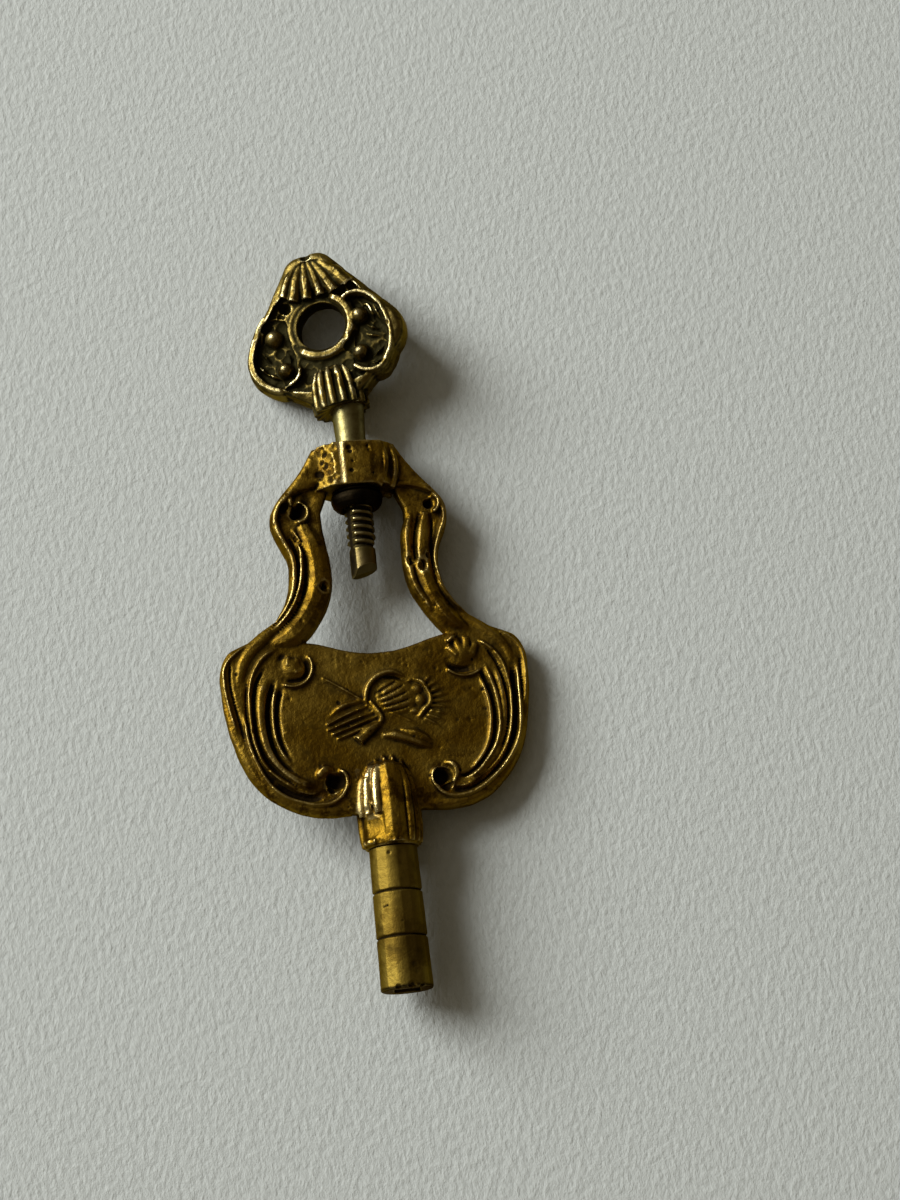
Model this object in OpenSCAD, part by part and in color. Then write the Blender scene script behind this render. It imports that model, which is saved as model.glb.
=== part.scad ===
// Winding key for a pocket watch: a cast lyre bow with a square-socketed pipe and a swivelling eye pendant.
// The key lies on a table: +Y runs along the pipe to the pendant, +Z is up, and the origin is the middle of
// the socket's mouth, on the axis that the pipe and the swivel share.

/* [Pipe] */
// Outside diameter of the pipe where it enters the collar
pipe_d = 3.4; // [3:0.05:4]
// Outside diameter of the pipe at its mouth
mouth_d = 3.7; // [3.3:0.05:4.2]
// Length of the pipe from its mouth to the collar
pipe_len = 10; // [9:0.1:14]
// Chamfer round the mouth
mouth_break = 0.12; // [0.05:0.01:0.2]
// Size of the square socket across its flats
socket_af = 1.8; // [1.2:0.05:2]
// Depth of the square socket
socket_depth = 7; // [4:0.1:8.5]
// Height of the first turned ring above the mouth
ring_first = 3.65; // [2:0.05:4.5]
// Distance from the first turned ring to the second
ring_step = 3.2; // [1:0.05:3.4]
// Width of the cut that makes a turned ring
ring_cut_w = 0.16; // [0.08:0.02:0.3]
// Depth of the cut that makes a turned ring
ring_cut_depth = 0.1; // [0.04:0.02:0.2]
// Diameter of the pipe's tenon in the collar
tenon_d = 2.4; // [2:0.05:2.8]
// Length of the pipe's tenon
tenon_len = 4; // [2:0.1:4.5]
// Gap of a brazed or screwed fit, on the radius
fit_gap = 0.02; // [0.01:0.01:0.04]

/* [Collar] */
// Diameter of the fluted collar over its ribs
collar_d = 4.7; // [4.2:0.1:5.4]
// Length of the collar from the pipe to the tips of its leaves
collar_len = 6.5; // [5.8:0.1:8]
// Number of ribs round the collar
collar_ribs = 12; // [8:1:16]
// Depth of the flutes between the collar's ribs
collar_flute = 0.25; // [0.1:0.05:0.4]

/* [Plate] */
// Distance from the foot of the collar to the lower edge of the plate
plate_rise = 2.5; // [1.5:0.1:3.5]
// Greatest width of the plate
plate_w = 22.2; // [20:0.2:25]
// Height of the plate from its lower edge to its top corners
plate_h = 12.5; // [11.5:0.1:15]
// Thickness of the plate's field
plate_t = 1.2; // [0.9:0.1:1.6]
// Distance from the plate's widest place up to its top corners
corner_drop = 2.1; // [1.5:0.1:3]
// How far each top corner stands in from the widest place
corner_in = 0.95; // [0.5:0.05:1.5]
// How far the plate's top edge sags below its corners
plate_sag = 0.8; // [0.2:0.05:1.5]

/* [Arms] */
// Height from the plate's top corners to the underside of the boss
arm_h = 11.5; // [10.8:0.1:14]
// Width over the arms at the waist
waist_w = 10.8; // [10:0.1:12]
// Height of the waist above the plate's top corners
waist_rise = 5.5; // [5:0.1:6.2]
// Width over the shoulders
shoulder_w = 12.9; // [11.8:0.1:14]
// Distance from the underside of the boss down to the shoulders
shoulder_drop = 1.9; // [1.4:0.1:2.4]
// Width of an arm at the waist
arm_w = 2.65; // [2.4:0.05:2.9]
// Width of an arm at the shoulder
shoulder_t = 3.4; // [3.1:0.05:3.6]
// Width of the window at its lower corners
window_w = 10.3; // [9:0.1:11.2]
// How far the window was cast to one side of the axis
window_shift = 0.25; // [-0.3:0.05:0.3]
// How far the window's corners lie above those of the outline
window_lift = 0.3; // [0:0.05:0.5]
// Width of the smooth bar on the inner side of each arm
bar_w = 1.75; // [1.4:0.05:1.9]
// Depth of the smooth bar from front to back
bar_depth = 2.4; // [1.8:0.1:3]

/* [Ornament] */
// Width of the rim strand that follows the outline
rim_w = 0.8; // [0.5:0.05:1]
// Depth of the rim strand from front to back
rim_depth = 1.9; // [1.7:0.1:2.3]
// Width of the scroll band on the plate
band_w = 1.1; // [0.7:0.05:1.3]
// Depth of the scroll band from front to back
band_depth = 1.9; // [1.7:0.1:2.4]
// Distance from the outline to the middle of the scroll band
band_inset = 2.45; // [2.2:0.05:3]
// Distance from the outline to the thin strand that ends in the lower curl
vein_inset = 1.15; // [1:0.05:1.3]
// Width of the thin strand
vein_w = 0.5; // [0.3:0.05:0.6]
// Radius of the plate's curls, to the middle of their strand
curl_r = 0.95; // [0.8:0.05:1.1]
// Gap between the collar and the lower curls
curl_gap = 0.45; // [0.3:0.05:0.8]
// Radius of the bead in each upper curl
bead_r = 0.75; // [0.5:0.05:0.9]
// Radius of the curl on each shoulder, to the middle of its strand
eyelet_r = 0.6; // [0.45:0.05:0.75]
// Width of the strand of the shoulder curls
eyelet_w = 0.45; // [0.3:0.05:0.6]

/* [Boss] */
// Width of the boss
boss_w = 6; // [5.6:0.1:6.6]
// Depth of the boss from front to back
boss_depth = 4.3; // [3.8:0.1:5]
// Length of the boss along the stem
boss_len = 3.3; // [2.8:0.1:4]
// Width of the flat face on the front and back of the boss
boss_face = 3; // [2.4:0.1:3.6]
// Depth of the bevel beside each flat face
boss_bevel = 1.3; // [0.8:0.1:1.6]
// Thickness of the head between the boss and the shoulders
head_t = 2; // [1.5:0.1:2.3]
// How far the head's flanks stand out beside the boss
flank_out = 0.65; // [0.4:0.05:1]
// Distance from the top of the boss down to the flanks
flank_drop = 1.15; // [0.8:0.05:1.6]
// Height of the head's ridge above the underside of the boss
ridge_rise = 0.4; // [0.2:0.05:0.8]
// How far the web beside the boss hangs below its underside
web_drop = 0.35; // [0.2:0.05:0.6]
// Gap between the web and the retaining nut
crown_gap = 0.6; // [0.5:0.05:0.8]

/* [Swivel] */
// Diameter of the stem's journal
stem_d = 2.2; // [1.9:0.05:2.4]
// Running clearance between the stem and what it passes through, on the radius
stem_clearance = 0.05; // [0.02:0.01:0.1]
// Diameter of the neck where it enters the pendant
neck_d = 2.45; // [2.4:0.05:2.8]
// Length of the neck that shows between the boss and the pendant
neck_len = 3.1; // [2.5:0.1:4]
// Depth of the neck's seat in the pendant
seat_depth = 0.35; // [0.25:0.05:0.6]
// Length of the journal that shows above the boss when the pendant is pulled out
play_len = 1.6; // [0.8:0.1:2]
// Length of the stem below the boss
tail_len = 6.5; // [5.5:0.1:8]
// Diameter of the stem's plain end
tail_end_d = 1.95; // [1.7:0.05:2.1]
// Chamfer on the stem's end
tail_break = 0.3; // [0.1:0.05:0.5]
// Pitch of the stem's thread
thread_pitch = 0.56; // [0.4:0.02:0.8]
// Depth of the stem's thread
thread_depth = 0.2; // [0.1:0.02:0.26]
// Relief of the thread's crests below the journal, on the radius
thread_relief = 0.03; // [0.02:0.01:0.05]
// Length of the plain end below the thread
plain_end = 2.1; // [1:0.1:2.6]
// Distance from the stem's axis to the flat filed on its tail
flat_reach = 0.9; // [0.8:0.01:1]
// Diameter of the stem's spigot in the pendant
spigot_d = 1.4; // [1:0.05:1.6]
// Length of the stem's spigot
spigot_len = 2.6; // [1.5:0.1:3]
// Diameter of the retaining nut
nut_d = 3.8; // [3.4:0.1:4.2]
// Height of the retaining nut
nut_h = 1.1; // [0.8:0.05:1.6]
// Height of the domed part of the nut
nut_dome = 0.6; // [0.3:0.05:0.7]
// Diameter of the thrust washer
washer_d = 3.6; // [3.2:0.1:4.2]
// Thickness of the thrust washer
washer_t = 0.25; // [0.15:0.05:0.4]
// Free gap above and below the thrust washer
washer_gap = 0.04; // [0.02:0.01:0.1]

/* [Pendant] */
// Greatest width of the pendant
pendant_w = 12.2; // [11.4:0.1:14]
// Height of the pendant above the foot of its cup
pendant_h = 12.6; // [12.2:0.1:15]
// Thickness of the pendant
pendant_t = 2.4; // [2.1:0.1:3]
// Radius of the pendant's rounded edge
edge_r = 0.8; // [0.4:0.05:0.9]
// Height of the widest place above the foot of the cup
lobe_h = 5.2; // [4.8:0.1:6]
// Radius of the pendant's two lobes
lobe_r = 2.3; // [1.9:0.1:2.6]
// Radius of the pendant's apex
apex_r = 1.6; // [1.3:0.1:2]
// Diameter of the eye
eye_d = 3.7; // [3:0.1:4]
// Height of the eye above the foot of the cup
eye_h = 6.7; // [6.4:0.1:7.2]
// Width of the raised ring round the eye
eye_ring = 0.5; // [0.3:0.05:0.7]
// Radius of the sunk pockets beside the eye
pocket_r = 1.5; // [1.2:0.05:1.6]
// Distance from the eye's middle line out to the pockets
pocket_out = 3.4; // [3:0.05:3.6]
// Distance from the lower end of a pocket to its upper end, between their middles
pocket_rise = 2.6; // [2:0.1:3]
// Depth of the sunk pockets on each face
pocket_depth = 0.5; // [0.2:0.05:0.6]
// Radius of the beads in the pockets
pocket_bead = 0.6; // [0.4:0.05:0.7]
// Diameter of the fluted cup over its ribs
cup_d = 4.15; // [3.9:0.05:4.6]
// Height of the fluted cup
cup_h = 3.6; // [3.2:0.1:4]
// Number of ribs round the cup
cup_ribs = 14; // [8:1:16]
// Depth of the flutes between the cup's ribs
cup_flute = 0.2; // [0.1:0.05:0.3]
// Number of ribs in the leaf above the eye
leaf_ribs = 5; // [3:2:7]
// Angle that the leaf spans at the eye
leaf_spread = 92; // [60:2:110]
// Width of a rib of the leaf
leaf_w = 0.85; // [0.5:0.05:1]
// How far the leaf and the beads stand proud of the pendant's faces
proud = 0.12; // [0.05:0.01:0.2]

/* [Rest] */
// Roll of the bow about its pipe as the key lies on a table
bow_roll = 8; // [0:0.5:12]
// Turn of the pendant about the stem as the key lies on a table
swivel_turn = 13; // [0:0.5:30]
// Lean of the pendant to one side on its stem, bent by wear
pendant_lean = 7; // [0:0.5:8]
// Turn of the filed flat about the stem, away from straight up
flat_turn = 62; // [0:1:360]

/* [Hidden] */
$fn = 64;

// Colours
bow_brass = [0.45, 0.34, 0.13];
pipe_brass = [0.58, 0.46, 0.22];
stem_brass = [0.58, 0.54, 0.28];
dark_brass = [0.28, 0.21, 0.10];

// Heights along the axis
plate_y = pipe_len + plate_rise;
corner_y = plate_y + plate_h;
boss_y = corner_y + arm_h;
top_y = boss_y + boss_len;
cup_y = top_y + neck_len;
washer_y = boss_y - washer_gap - washer_t;
nut_y = washer_y - washer_gap - nut_h;
tail_y = boss_y - tail_len;

// Overrun of a cut past the face that it starts from
cut = 0.5;
// Handles of the curves, as a share of the stretch that they bend
full = 0.72;
slack = 0.45;
// Points along the foot of the outline, and the point from which the strands run clear of the collar
foot_steps = 14;
strand_from = 4;
// Width of a strand at its drawn-in ends, as a share of its full width
strand_end = 0.4;
// Points round the pendant's outline and steps round its edge
rim_sides = 72;
edge_steps = 3;

// Corners of one half of the bow's outline
widest = [plate_w / 2, corner_y - corner_drop];
corner = [plate_w / 2 - corner_in, corner_y];
waist = [waist_w / 2, corner_y + waist_rise];
shoulder = [shoulder_w / 2, boss_y - shoulder_drop];
flank = [boss_w / 2 + flank_out, top_y - flank_drop];
head_corner = [boss_w / 2, top_y];

// Corners of one half of the window
window_foot = [window_w / 2, corner_y + window_lift];
window_waist = [waist[0] - arm_w, waist[1] + window_lift];
window_head = [shoulder[0] - shoulder_t, shoulder[1] + window_lift];
web_foot = [nut_d / 2 + crown_gap, boss_y - web_drop];
window_crown = [nut_d / 2 + crown_gap, boss_y + web_drop];

// Middles of the curls, and the angles at which their strands start and end
upper_curl = [window_foot[0] + curl_r, corner_y - plate_sag - curl_r];
lower_curl = [collar_d / 2 + curl_gap + curl_r, plate_y + vein_inset + curl_r];
eyelet = window_head + [bar_w / 2 + eyelet_w / 2, eyelet_r];
upper_turn = [300, 90];
lower_turn = [-60, -350];
eyelet_turn = [-120, 200];

function unit(v) = v / norm(v);
function left_of(v) = [-v[1], v[0]];

// Points along a cubic curve that leaves p along dp and reaches q along dq
function curve(p, dp, q, dq, steps) = [
    for (i = [0:steps])
        let (t = i / steps, s = 1 - t)
            s * s * s * p + 3 * s * s * t * (p + dp) + 3 * s * t * t * (q - dq) + t * t * t * q
];

// Points on a spiral that turns about a middle while its radius changes evenly
function spiral(middle, turn, r_from, r_to, steps) = [
    for (i = [0:steps])
        let (t = i / steps, a = turn[0] + (turn[1] - turn[0]) * t)
            middle + (r_from + (r_to - r_from) * t) * [cos(a), sin(a)]
];

// Runs of points that each start where the last one ends, as one path
function chained(runs) = concat([runs[0][0]], [for (run = runs, i = [1:len(run) - 1]) run[i]]);

function backwards(path) = [for (i = [len(path) - 1:-1:0]) path[i]];
function across(path) = [for (p = backwards(path)) [-p[0], p[1]]];
function heading(path, i) = unit(path[min(i + 1, len(path) - 1)] - path[max(i - 1, 0)]);
function inset(path, d) = [for (i = [0:len(path) - 1]) path[i] + d * left_of(heading(path, i))];

// One half of the outline, from the middle of the plate's foot round to the boss
foot_rise = widest[1] - plate_y;
chest_rise = shoulder[1] - waist[1];
foot_run = curve([0, plate_y], [full * widest[0], 0], widest, [0, full * foot_rise], foot_steps);
corner_run = curve(widest, [0, slack * corner_drop], corner, slack * corner_in * [-1, slack], 4);
arm_run = curve(corner, slack * (corner[0] - waist[0]) * [-1, slack], waist, [0, full * waist_rise], 9);
chest_run = curve(waist, [0, slack * chest_rise], shoulder, [0, slack * chest_rise], 6);
head_run = curve(shoulder, [0, full * shoulder_drop], flank, slack * (flank - shoulder), 6);
half_outline = chained([foot_run, corner_run, arm_run, chest_run, head_run, [flank, head_corner]]);

// One half of the window, from the middle of its sagging foot up to the boss
inner_rise = window_waist[1] - window_foot[1];
neck_rise = window_head[1] - window_waist[1];
sag_run = curve([0, corner_y - plate_sag], [slack * window_foot[0], 0],
                window_foot, slack * [window_foot[0], plate_sag], 6);
inner_run = curve(window_foot, slack * (window_foot[0] - window_waist[0]) * [-1, 1],
                  window_waist, [0, slack * inner_rise], 8);
neck_run = curve(window_waist, [0, slack * neck_rise], window_head, [0, slack * neck_rise], 5);
half_window = chained([sag_run, inner_run, neck_run, [window_head, web_foot], [web_foot, window_crown]]);

// One half of the thicker head, above a ridge that runs from the boss down to the shoulder
ridge_foot = [boss_face / 2, boss_y + ridge_rise];
ridge_run = curve(ridge_foot, [full * (shoulder[0] - ridge_foot[0]), 0],
                  shoulder, slack * (shoulder - ridge_foot), 8);
half_head = chained([ridge_run, head_run, [flank, head_corner]]);

// Middle lines of the strands on one half of the bow
plate_side = [for (i = [strand_from:foot_steps]) foot_run[i]];
rim_line = inset(chained([plate_side, corner_run, arm_run, chest_run, head_run]), rim_w / 2);
bar_waist = window_waist + [bar_w / 2, 0];
bar_foot = [(window_foot[0] + corner[0]) / 2, corner_y];
bar_line = chained([
    curve(window_head + [bar_w / 2, 0], [0, -slack * neck_rise], bar_waist, [0, -slack * neck_rise], 6),
    curve(bar_waist, [0, -slack * inner_rise],
          bar_foot, full * (bar_foot[0] - bar_waist[0]) * [1, -slack], 10)
]);
band_side = [plate_w / 2 - band_inset, widest[1] - foot_rise / 4];
band_end = lower_curl + curl_r * [1 + slack, slack];
band_line = chained([
    spiral(upper_curl, upper_turn, curl_r, curl_r, 8),
    curve(upper_curl + [0, curl_r], [full * (band_side[0] - upper_curl[0]), 0],
          band_side, [0, -slack * foot_rise], 8),
    curve(band_side, [0, -slack * foot_rise / 2],
          band_end, slack * (band_side[0] - band_end[0]) * [-1, -slack], 8)
]);
vein_side = backwards(inset(plate_side, vein_inset));
vein_curl = spiral(lower_curl, lower_turn, curl_r, full * curl_r, 10);
vein_line = chained([vein_side, [vein_side[len(vein_side) - 1], vein_curl[0]], vein_curl]);
eyelet_line = spiral(eyelet, eyelet_turn, eyelet_r, eyelet_r, 10);

// A closed skin over rings of points, with a flat cap on the first ring and on the last
module skin(rings) {
    sides = len(rings[0]);
    last = (len(rings) - 1) * sides;
    walls = [
        for (i = [0:len(rings) - 2], j = [0:sides - 1])
            let (a = i * sides + j, b = i * sides + (j + 1) % sides)
                each [[a, a + sides, b + sides], [a, b + sides, b]]
    ];
    caps = [[for (j = [0:sides - 1]) j], [for (j = [sides - 1:-1:0]) last + j]];
    polyhedron([for (ring = rings) each ring], concat(walls, caps));
}

// A rounded bar along a path in the plane, drawn in at both ends
module strand(path, w, depth, sides = 10) {
    last = len(path) - 1;
    function swell(i) = min(1, strand_end + (1 - strand_end) * min(i, last - i) / 2);
    skin([
        for (i = [0:last])
            let (n = swell(i) * w / 2 * left_of(heading(path, i)), rise = swell(i) * depth / 2)
                [
                    for (j = [0:sides - 1])
                        let (a = 360 * j / sides, p = path[i] + cos(a) * n)
                            [p[0], p[1], sin(a) * rise]
                ]
    ]);
}

// A fluted round body about the axis: each ring has a radius, a height and a share of the flutes' depth
module fluted(profile, ribs, flute) {
    sides = 4 * ribs;
    skin([
        for (ring = profile)
            [
                for (j = [0:sides - 1])
                    let (a = 360 * j / sides, r = ring[0] - ring[2] * flute * (1 - cos(ribs * a)) / 2)
                        [r * sin(a), ring[1], r * cos(a)]
            ]
    ]);
}

// The outline that a band takes when it is stretched round circles, drawn in by d
function rim_point(circles, n, d) =
    let (reach = [for (c = circles) c[0] * n + c[1]], far = circles[search(max(reach), reach)[0]])
        far[0] + (far[1] - d) * n;
function rim_of(circles, d) = [
    for (j = [0:rim_sides - 1])
        let (a = 360 * (j + 0.5) / rim_sides)
            rim_point(circles, [cos(a), sin(a)], d)
];

// A plate with a rounded edge, on an outline stretched round circles
module pillow(circles, t) {
    edge = [
        for (up = [-1, 1], k = [0:edge_steps])
            let (a = 90 * (up < 0 ? k - edge_steps : k) / edge_steps)
                [edge_r * (1 - cos(a)), up * (t / 2 - edge_r) + edge_r * sin(a)]
    ];
    skin([for (e = edge) [for (p = rim_of(circles, e[0])) [p[0], p[1], e[1]]]]);
}

module in_pairs() {
    children();
    mirror([1, 0, 0]) children();
}

// A cylinder along the axis from one height to another
module along_axis(r, from, to) {
    translate([0, from, 0]) rotate([-90, 0, 0]) cylinder(r = r, h = to - from);
}

// A turned body about the axis, from its radii and heights
module turned(profile) {
    rotate([-90, 0, 0]) rotate_extrude() polygon(profile);
}

module boss() {
    front = boss_depth / 2;
    side = front - boss_bevel;
    half = [[boss_face / 2, -front], [boss_w / 2, -side], [boss_w / 2, side], [boss_face / 2, front]];
    translate([0, boss_y, 0]) rotate([-90, 0, 0])
        linear_extrude(boss_len) polygon(concat(half, across(half)));
}

module collar() {
    r = collar_d / 2;
    fluted([
        [0.86 * r, pipe_len, 0],
        [r, pipe_len + 0.12 * collar_len, 0.5],
        [r, pipe_len + 0.45 * collar_len, 1],
        [0.93 * r, pipe_len + 0.7 * collar_len, 1],
        [0.75 * r, pipe_len + 0.86 * collar_len, 1],
        [0.42 * r, pipe_len + 0.97 * collar_len, 0.6],
        [0.15 * r, pipe_len + collar_len, 0]
    ], collar_ribs, collar_flute);
}

module bow_casting() {
    linear_extrude(plate_t, center = true) difference() {
        polygon(concat(half_outline, across(half_outline)));
        translate([window_shift, 0]) polygon(concat(half_window, across(half_window)));
    }
    linear_extrude(head_t, center = true) polygon(concat(half_head, across(half_head)));
    translate([window_shift, 0, 0]) in_pairs() strand(bar_line, bar_w, bar_depth, 14);
    in_pairs() {
        strand(rim_line, rim_w, rim_depth);
        strand(band_line, band_w, band_depth);
        strand(vein_line, vein_w, rim_depth, 8);
        strand(eyelet_line, eyelet_w, bar_depth, 8);
        translate([upper_curl[0], upper_curl[1], 0]) sphere(r = bead_r + plate_t / 4, $fn = 24);
    }
    boss();
    collar();
}

module lyre_bow() {
    color(bow_brass) rotate([0, bow_roll, 0]) difference() {
        bow_casting();
        along_axis(stem_d / 2 + stem_clearance, boss_y - cut, top_y + cut);
        along_axis(tenon_d / 2 + fit_gap, pipe_len - cut, pipe_len + tenon_len + fit_gap);
    }
}

module turned_ring(height) {
    skin_r = mouth_d / 2 + (pipe_d - mouth_d) / 2 * height / pipe_len;
    difference() {
        along_axis(mouth_d, height - ring_cut_w / 2, height + ring_cut_w / 2);
        along_axis(skin_r - ring_cut_depth, height - cut, height + cut);
    }
}

module pipe() {
    color(pipe_brass) difference() {
        turned([
            [0, 0], [mouth_d / 2 - mouth_break, 0], [mouth_d / 2, mouth_break], [pipe_d / 2, pipe_len],
            [tenon_d / 2, pipe_len], [tenon_d / 2, pipe_len + tenon_len], [0, pipe_len + tenon_len]
        ]);
        translate([-socket_af / 2, -cut, -socket_af / 2]) cube([socket_af, socket_depth + cut, socket_af]);
        for (i = [0, 1]) turned_ring(ring_first + i * ring_step);
    }
}

// The threaded tail of the stem, with a flat filed along it, up to the middle of the boss
module tail() {
    sides = 24;
    steps_per_turn = 6;
    thread_y = tail_y + plain_end;
    rise = thread_pitch / steps_per_turn;
    steps = floor((boss_y - thread_y) / rise);
    heights = concat(
        [tail_y, tail_y + tail_break], [for (i = [0:steps]) thread_y + i * rise], [boss_y + boss_len / 2]
    );
    top_r = stem_d / 2 - thread_relief;
    function crest(y) = min(top_r, tail_end_d / 2 + (top_r - tail_end_d / 2) * (y - tail_y) / tail_len);
    function bite(y, a) =
        y < thread_y + rise / 2 || y > thread_y + (steps - 0.5) * rise ? 0
        : thread_depth * (1 - cos(360 * (y - thread_y) / thread_pitch - a)) / 2;
    function turned_reach(y, a) = crest(y) - bite(y, a) - (y == tail_y ? tail_break : 0);
    function filed_reach(y, a) = y < boss_y && cos(a) > 0 ? flat_reach / cos(a) : stem_d;
    skin([
        for (y = heights)
            [
                for (j = [0:sides - 1])
                    let (a = 360 * j / sides, r = min(turned_reach(y, a), filed_reach(y, a)))
                        [r * sin(a), y, r * cos(a)]
            ]
    ]);
}

module swivel_stem() {
    color(stem_brass) rotate([0, -flat_turn, 0]) {
        tail();
        turned([
            [0, boss_y], [stem_d / 2, boss_y], [stem_d / 2, top_y + play_len], [neck_d / 2, cup_y],
            [neck_d / 2, cup_y + seat_depth], [spigot_d / 2, cup_y + seat_depth],
            [spigot_d / 2, cup_y + seat_depth + spigot_len], [0, cup_y + seat_depth + spigot_len]
        ]);
    }
}

module thrust_washer() {
    color(dark_brass) difference() {
        along_axis(washer_d / 2, washer_y, washer_y + washer_t);
        along_axis(stem_d / 2 + stem_clearance, washer_y - cut, washer_y + washer_t + cut);
    }
}

module retaining_nut() {
    top = nut_y + nut_h;
    color(dark_brass) difference() {
        turned([
            [0, nut_y], [nut_d / 2 - nut_dome, nut_y], [nut_d / 2 - nut_dome / 4, nut_y + nut_dome / 2],
            [nut_d / 2, nut_y + nut_dome], [nut_d / 2, top], [0, top]
        ]);
        along_axis(stem_d / 2 + fit_gap, nut_y - cut, top + cut);
    }
}

// The pendant is drawn upright from the foot of its cup, then leant and turned about the top of the boss
lobe = [pendant_w / 2 - lobe_r, lobe_h];
apex = [apex_r / 3, pendant_h - apex_r];
foot_r = cup_d / 4;
foot = [cup_d / 2 - foot_r, seat_depth + foot_r];
one_side = [[lobe, lobe_r], [apex, apex_r], [foot, foot_r]];
pendant_circles = concat(one_side, [for (c = one_side) [[-c[0][0], c[0][1]], c[1]]]);
pocket_top = [pocket_out, eye_h];
pocket_foot = [pocket_out, eye_h - pocket_rise];
pocket_circles = [[pocket_top, pocket_r], [pocket_foot, pocket_r]];

module at_eye() {
    translate([0, eye_h, 0]) children();
}

module leaf() {
    root_r = eye_d / 2 + eye_ring;
    for (i = [0:leaf_ribs - 1]) {
        a = 90 + leaf_spread * (i / (leaf_ribs - 1) - 0.5);
        root = [0, eye_h] + root_r * [cos(a), sin(a)];
        tip = [0, apex[1]] + apex_r / 2 * [cos(a), sin(a)];
        strand([for (k = [0:8]) root + (tip - root) * k / 8], leaf_w, pendant_t + 2 * proud, 8);
    }
}

module pocket_beads() {
    for (middle = [pocket_top, pocket_foot])
        translate([middle[0] - pocket_bead / 2, middle[1], 0])
            cylinder(r = pocket_bead, h = pendant_t - pocket_depth / 2, center = true, $fn = 24);
}

module pendant_casting() {
    r = cup_d / 2;
    difference() {
        pillow(pendant_circles, pendant_t);
        for (up = [0, 1]) mirror([0, 0, up]) in_pairs() translate([0, 0, pendant_t / 2 - pocket_depth])
            linear_extrude(pocket_depth + cut) polygon(rim_of(pocket_circles, 0));
    }
    leaf();
    in_pairs() pocket_beads();
    at_eye() cylinder(r = eye_d / 2 + eye_ring, h = pendant_t + 2 * proud, center = true);
    fluted([
        [0.94 * r, 0, 0.5], [r, 0.15 * cup_h, 1], [0.98 * r, 0.5 * cup_h, 1],
        [0.85 * r, 0.8 * cup_h, 1], [0.55 * r, cup_h, 0.5]
    ], cup_ribs, cup_flute);
}

module pendant() {
    color(bow_brass) rotate([0, -swivel_turn, 0]) difference() {
        translate([0, top_y, 0]) rotate([0, 0, pendant_lean]) translate([0, neck_len, 0]) difference() {
            pendant_casting();
            at_eye() cylinder(d = eye_d, h = pendant_t + 2 * cut, center = true);
        }
        along_axis(neck_d / 2 + fit_gap, cup_y - 2 * cut, cup_y + seat_depth);
        along_axis(spigot_d / 2 + fit_gap, cup_y, cup_y + seat_depth + spigot_len + fit_gap);
    }
}

lyre_bow();
pipe();
swivel_stem();
thrust_washer();
retaining_nut();
pendant();
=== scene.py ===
import math

import bpy
import numpy as np
from mathutils import Matrix, Vector


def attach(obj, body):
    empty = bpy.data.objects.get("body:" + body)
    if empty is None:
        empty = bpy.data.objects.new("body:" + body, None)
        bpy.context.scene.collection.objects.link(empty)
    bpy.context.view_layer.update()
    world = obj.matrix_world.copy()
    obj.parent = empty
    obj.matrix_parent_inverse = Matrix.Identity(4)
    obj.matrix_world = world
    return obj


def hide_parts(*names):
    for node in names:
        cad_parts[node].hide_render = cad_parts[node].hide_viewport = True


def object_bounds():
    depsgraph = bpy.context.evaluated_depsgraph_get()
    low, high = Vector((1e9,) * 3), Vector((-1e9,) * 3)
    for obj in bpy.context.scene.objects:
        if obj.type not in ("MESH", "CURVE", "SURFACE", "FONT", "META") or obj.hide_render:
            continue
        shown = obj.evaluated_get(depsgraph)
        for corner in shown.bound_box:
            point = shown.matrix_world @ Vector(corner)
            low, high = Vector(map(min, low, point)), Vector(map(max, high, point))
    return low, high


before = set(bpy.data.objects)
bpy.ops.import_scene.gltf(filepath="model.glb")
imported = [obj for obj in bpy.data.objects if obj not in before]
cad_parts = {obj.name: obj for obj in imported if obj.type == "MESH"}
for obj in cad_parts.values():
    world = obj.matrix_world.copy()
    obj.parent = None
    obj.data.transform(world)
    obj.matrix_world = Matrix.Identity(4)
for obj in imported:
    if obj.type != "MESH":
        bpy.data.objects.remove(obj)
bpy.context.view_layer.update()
print("frame loaded:", sorted(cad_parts))

# pieces are modelled in millimetres on the key's own axis, then brought to metres
mm = 0.001


def deselectAll():
    if bpy.context.object and bpy.context.object.mode != "OBJECT":
        bpy.ops.object.mode_set(mode="OBJECT")
    bpy.ops.object.select_all(action="DESELECT")


def pick(*objects):
    deselectAll()
    for item in objects:
        item.select_set(True)
    bpy.context.view_layer.objects.active = objects[-1]


def applyAll(piece):
    pick(piece)
    bpy.ops.object.transform_apply(location=True, rotation=True, scale=True)


def addModifier(piece, kind, **settings):
    pick(piece)
    change = piece.modifiers.new(kind.lower(), kind)
    for key, value in settings.items():
        setattr(change, key, value)
    bpy.ops.object.modifier_apply(modifier=change.name)


# a line through points: handles found by the curve itself, or straight
def drawLine(points, closed=False, straight=False):
    deselectAll()
    bpy.ops.curve.primitive_bezier_curve_add(location=(0, 0, 0))
    line = bpy.context.object
    line.data.dimensions = "3D"
    spline = line.data.splines[0]
    spline.bezier_points.add(len(points) - 2)
    spline.use_cyclic_u = closed
    for knot, point in zip(spline.bezier_points, points):
        knot.co = Vector(point).to_3d()
    for knot in spline.bezier_points:
        knot.handle_left_type = knot.handle_right_type = "VECTOR" if straight else "AUTO"
    return line


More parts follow.
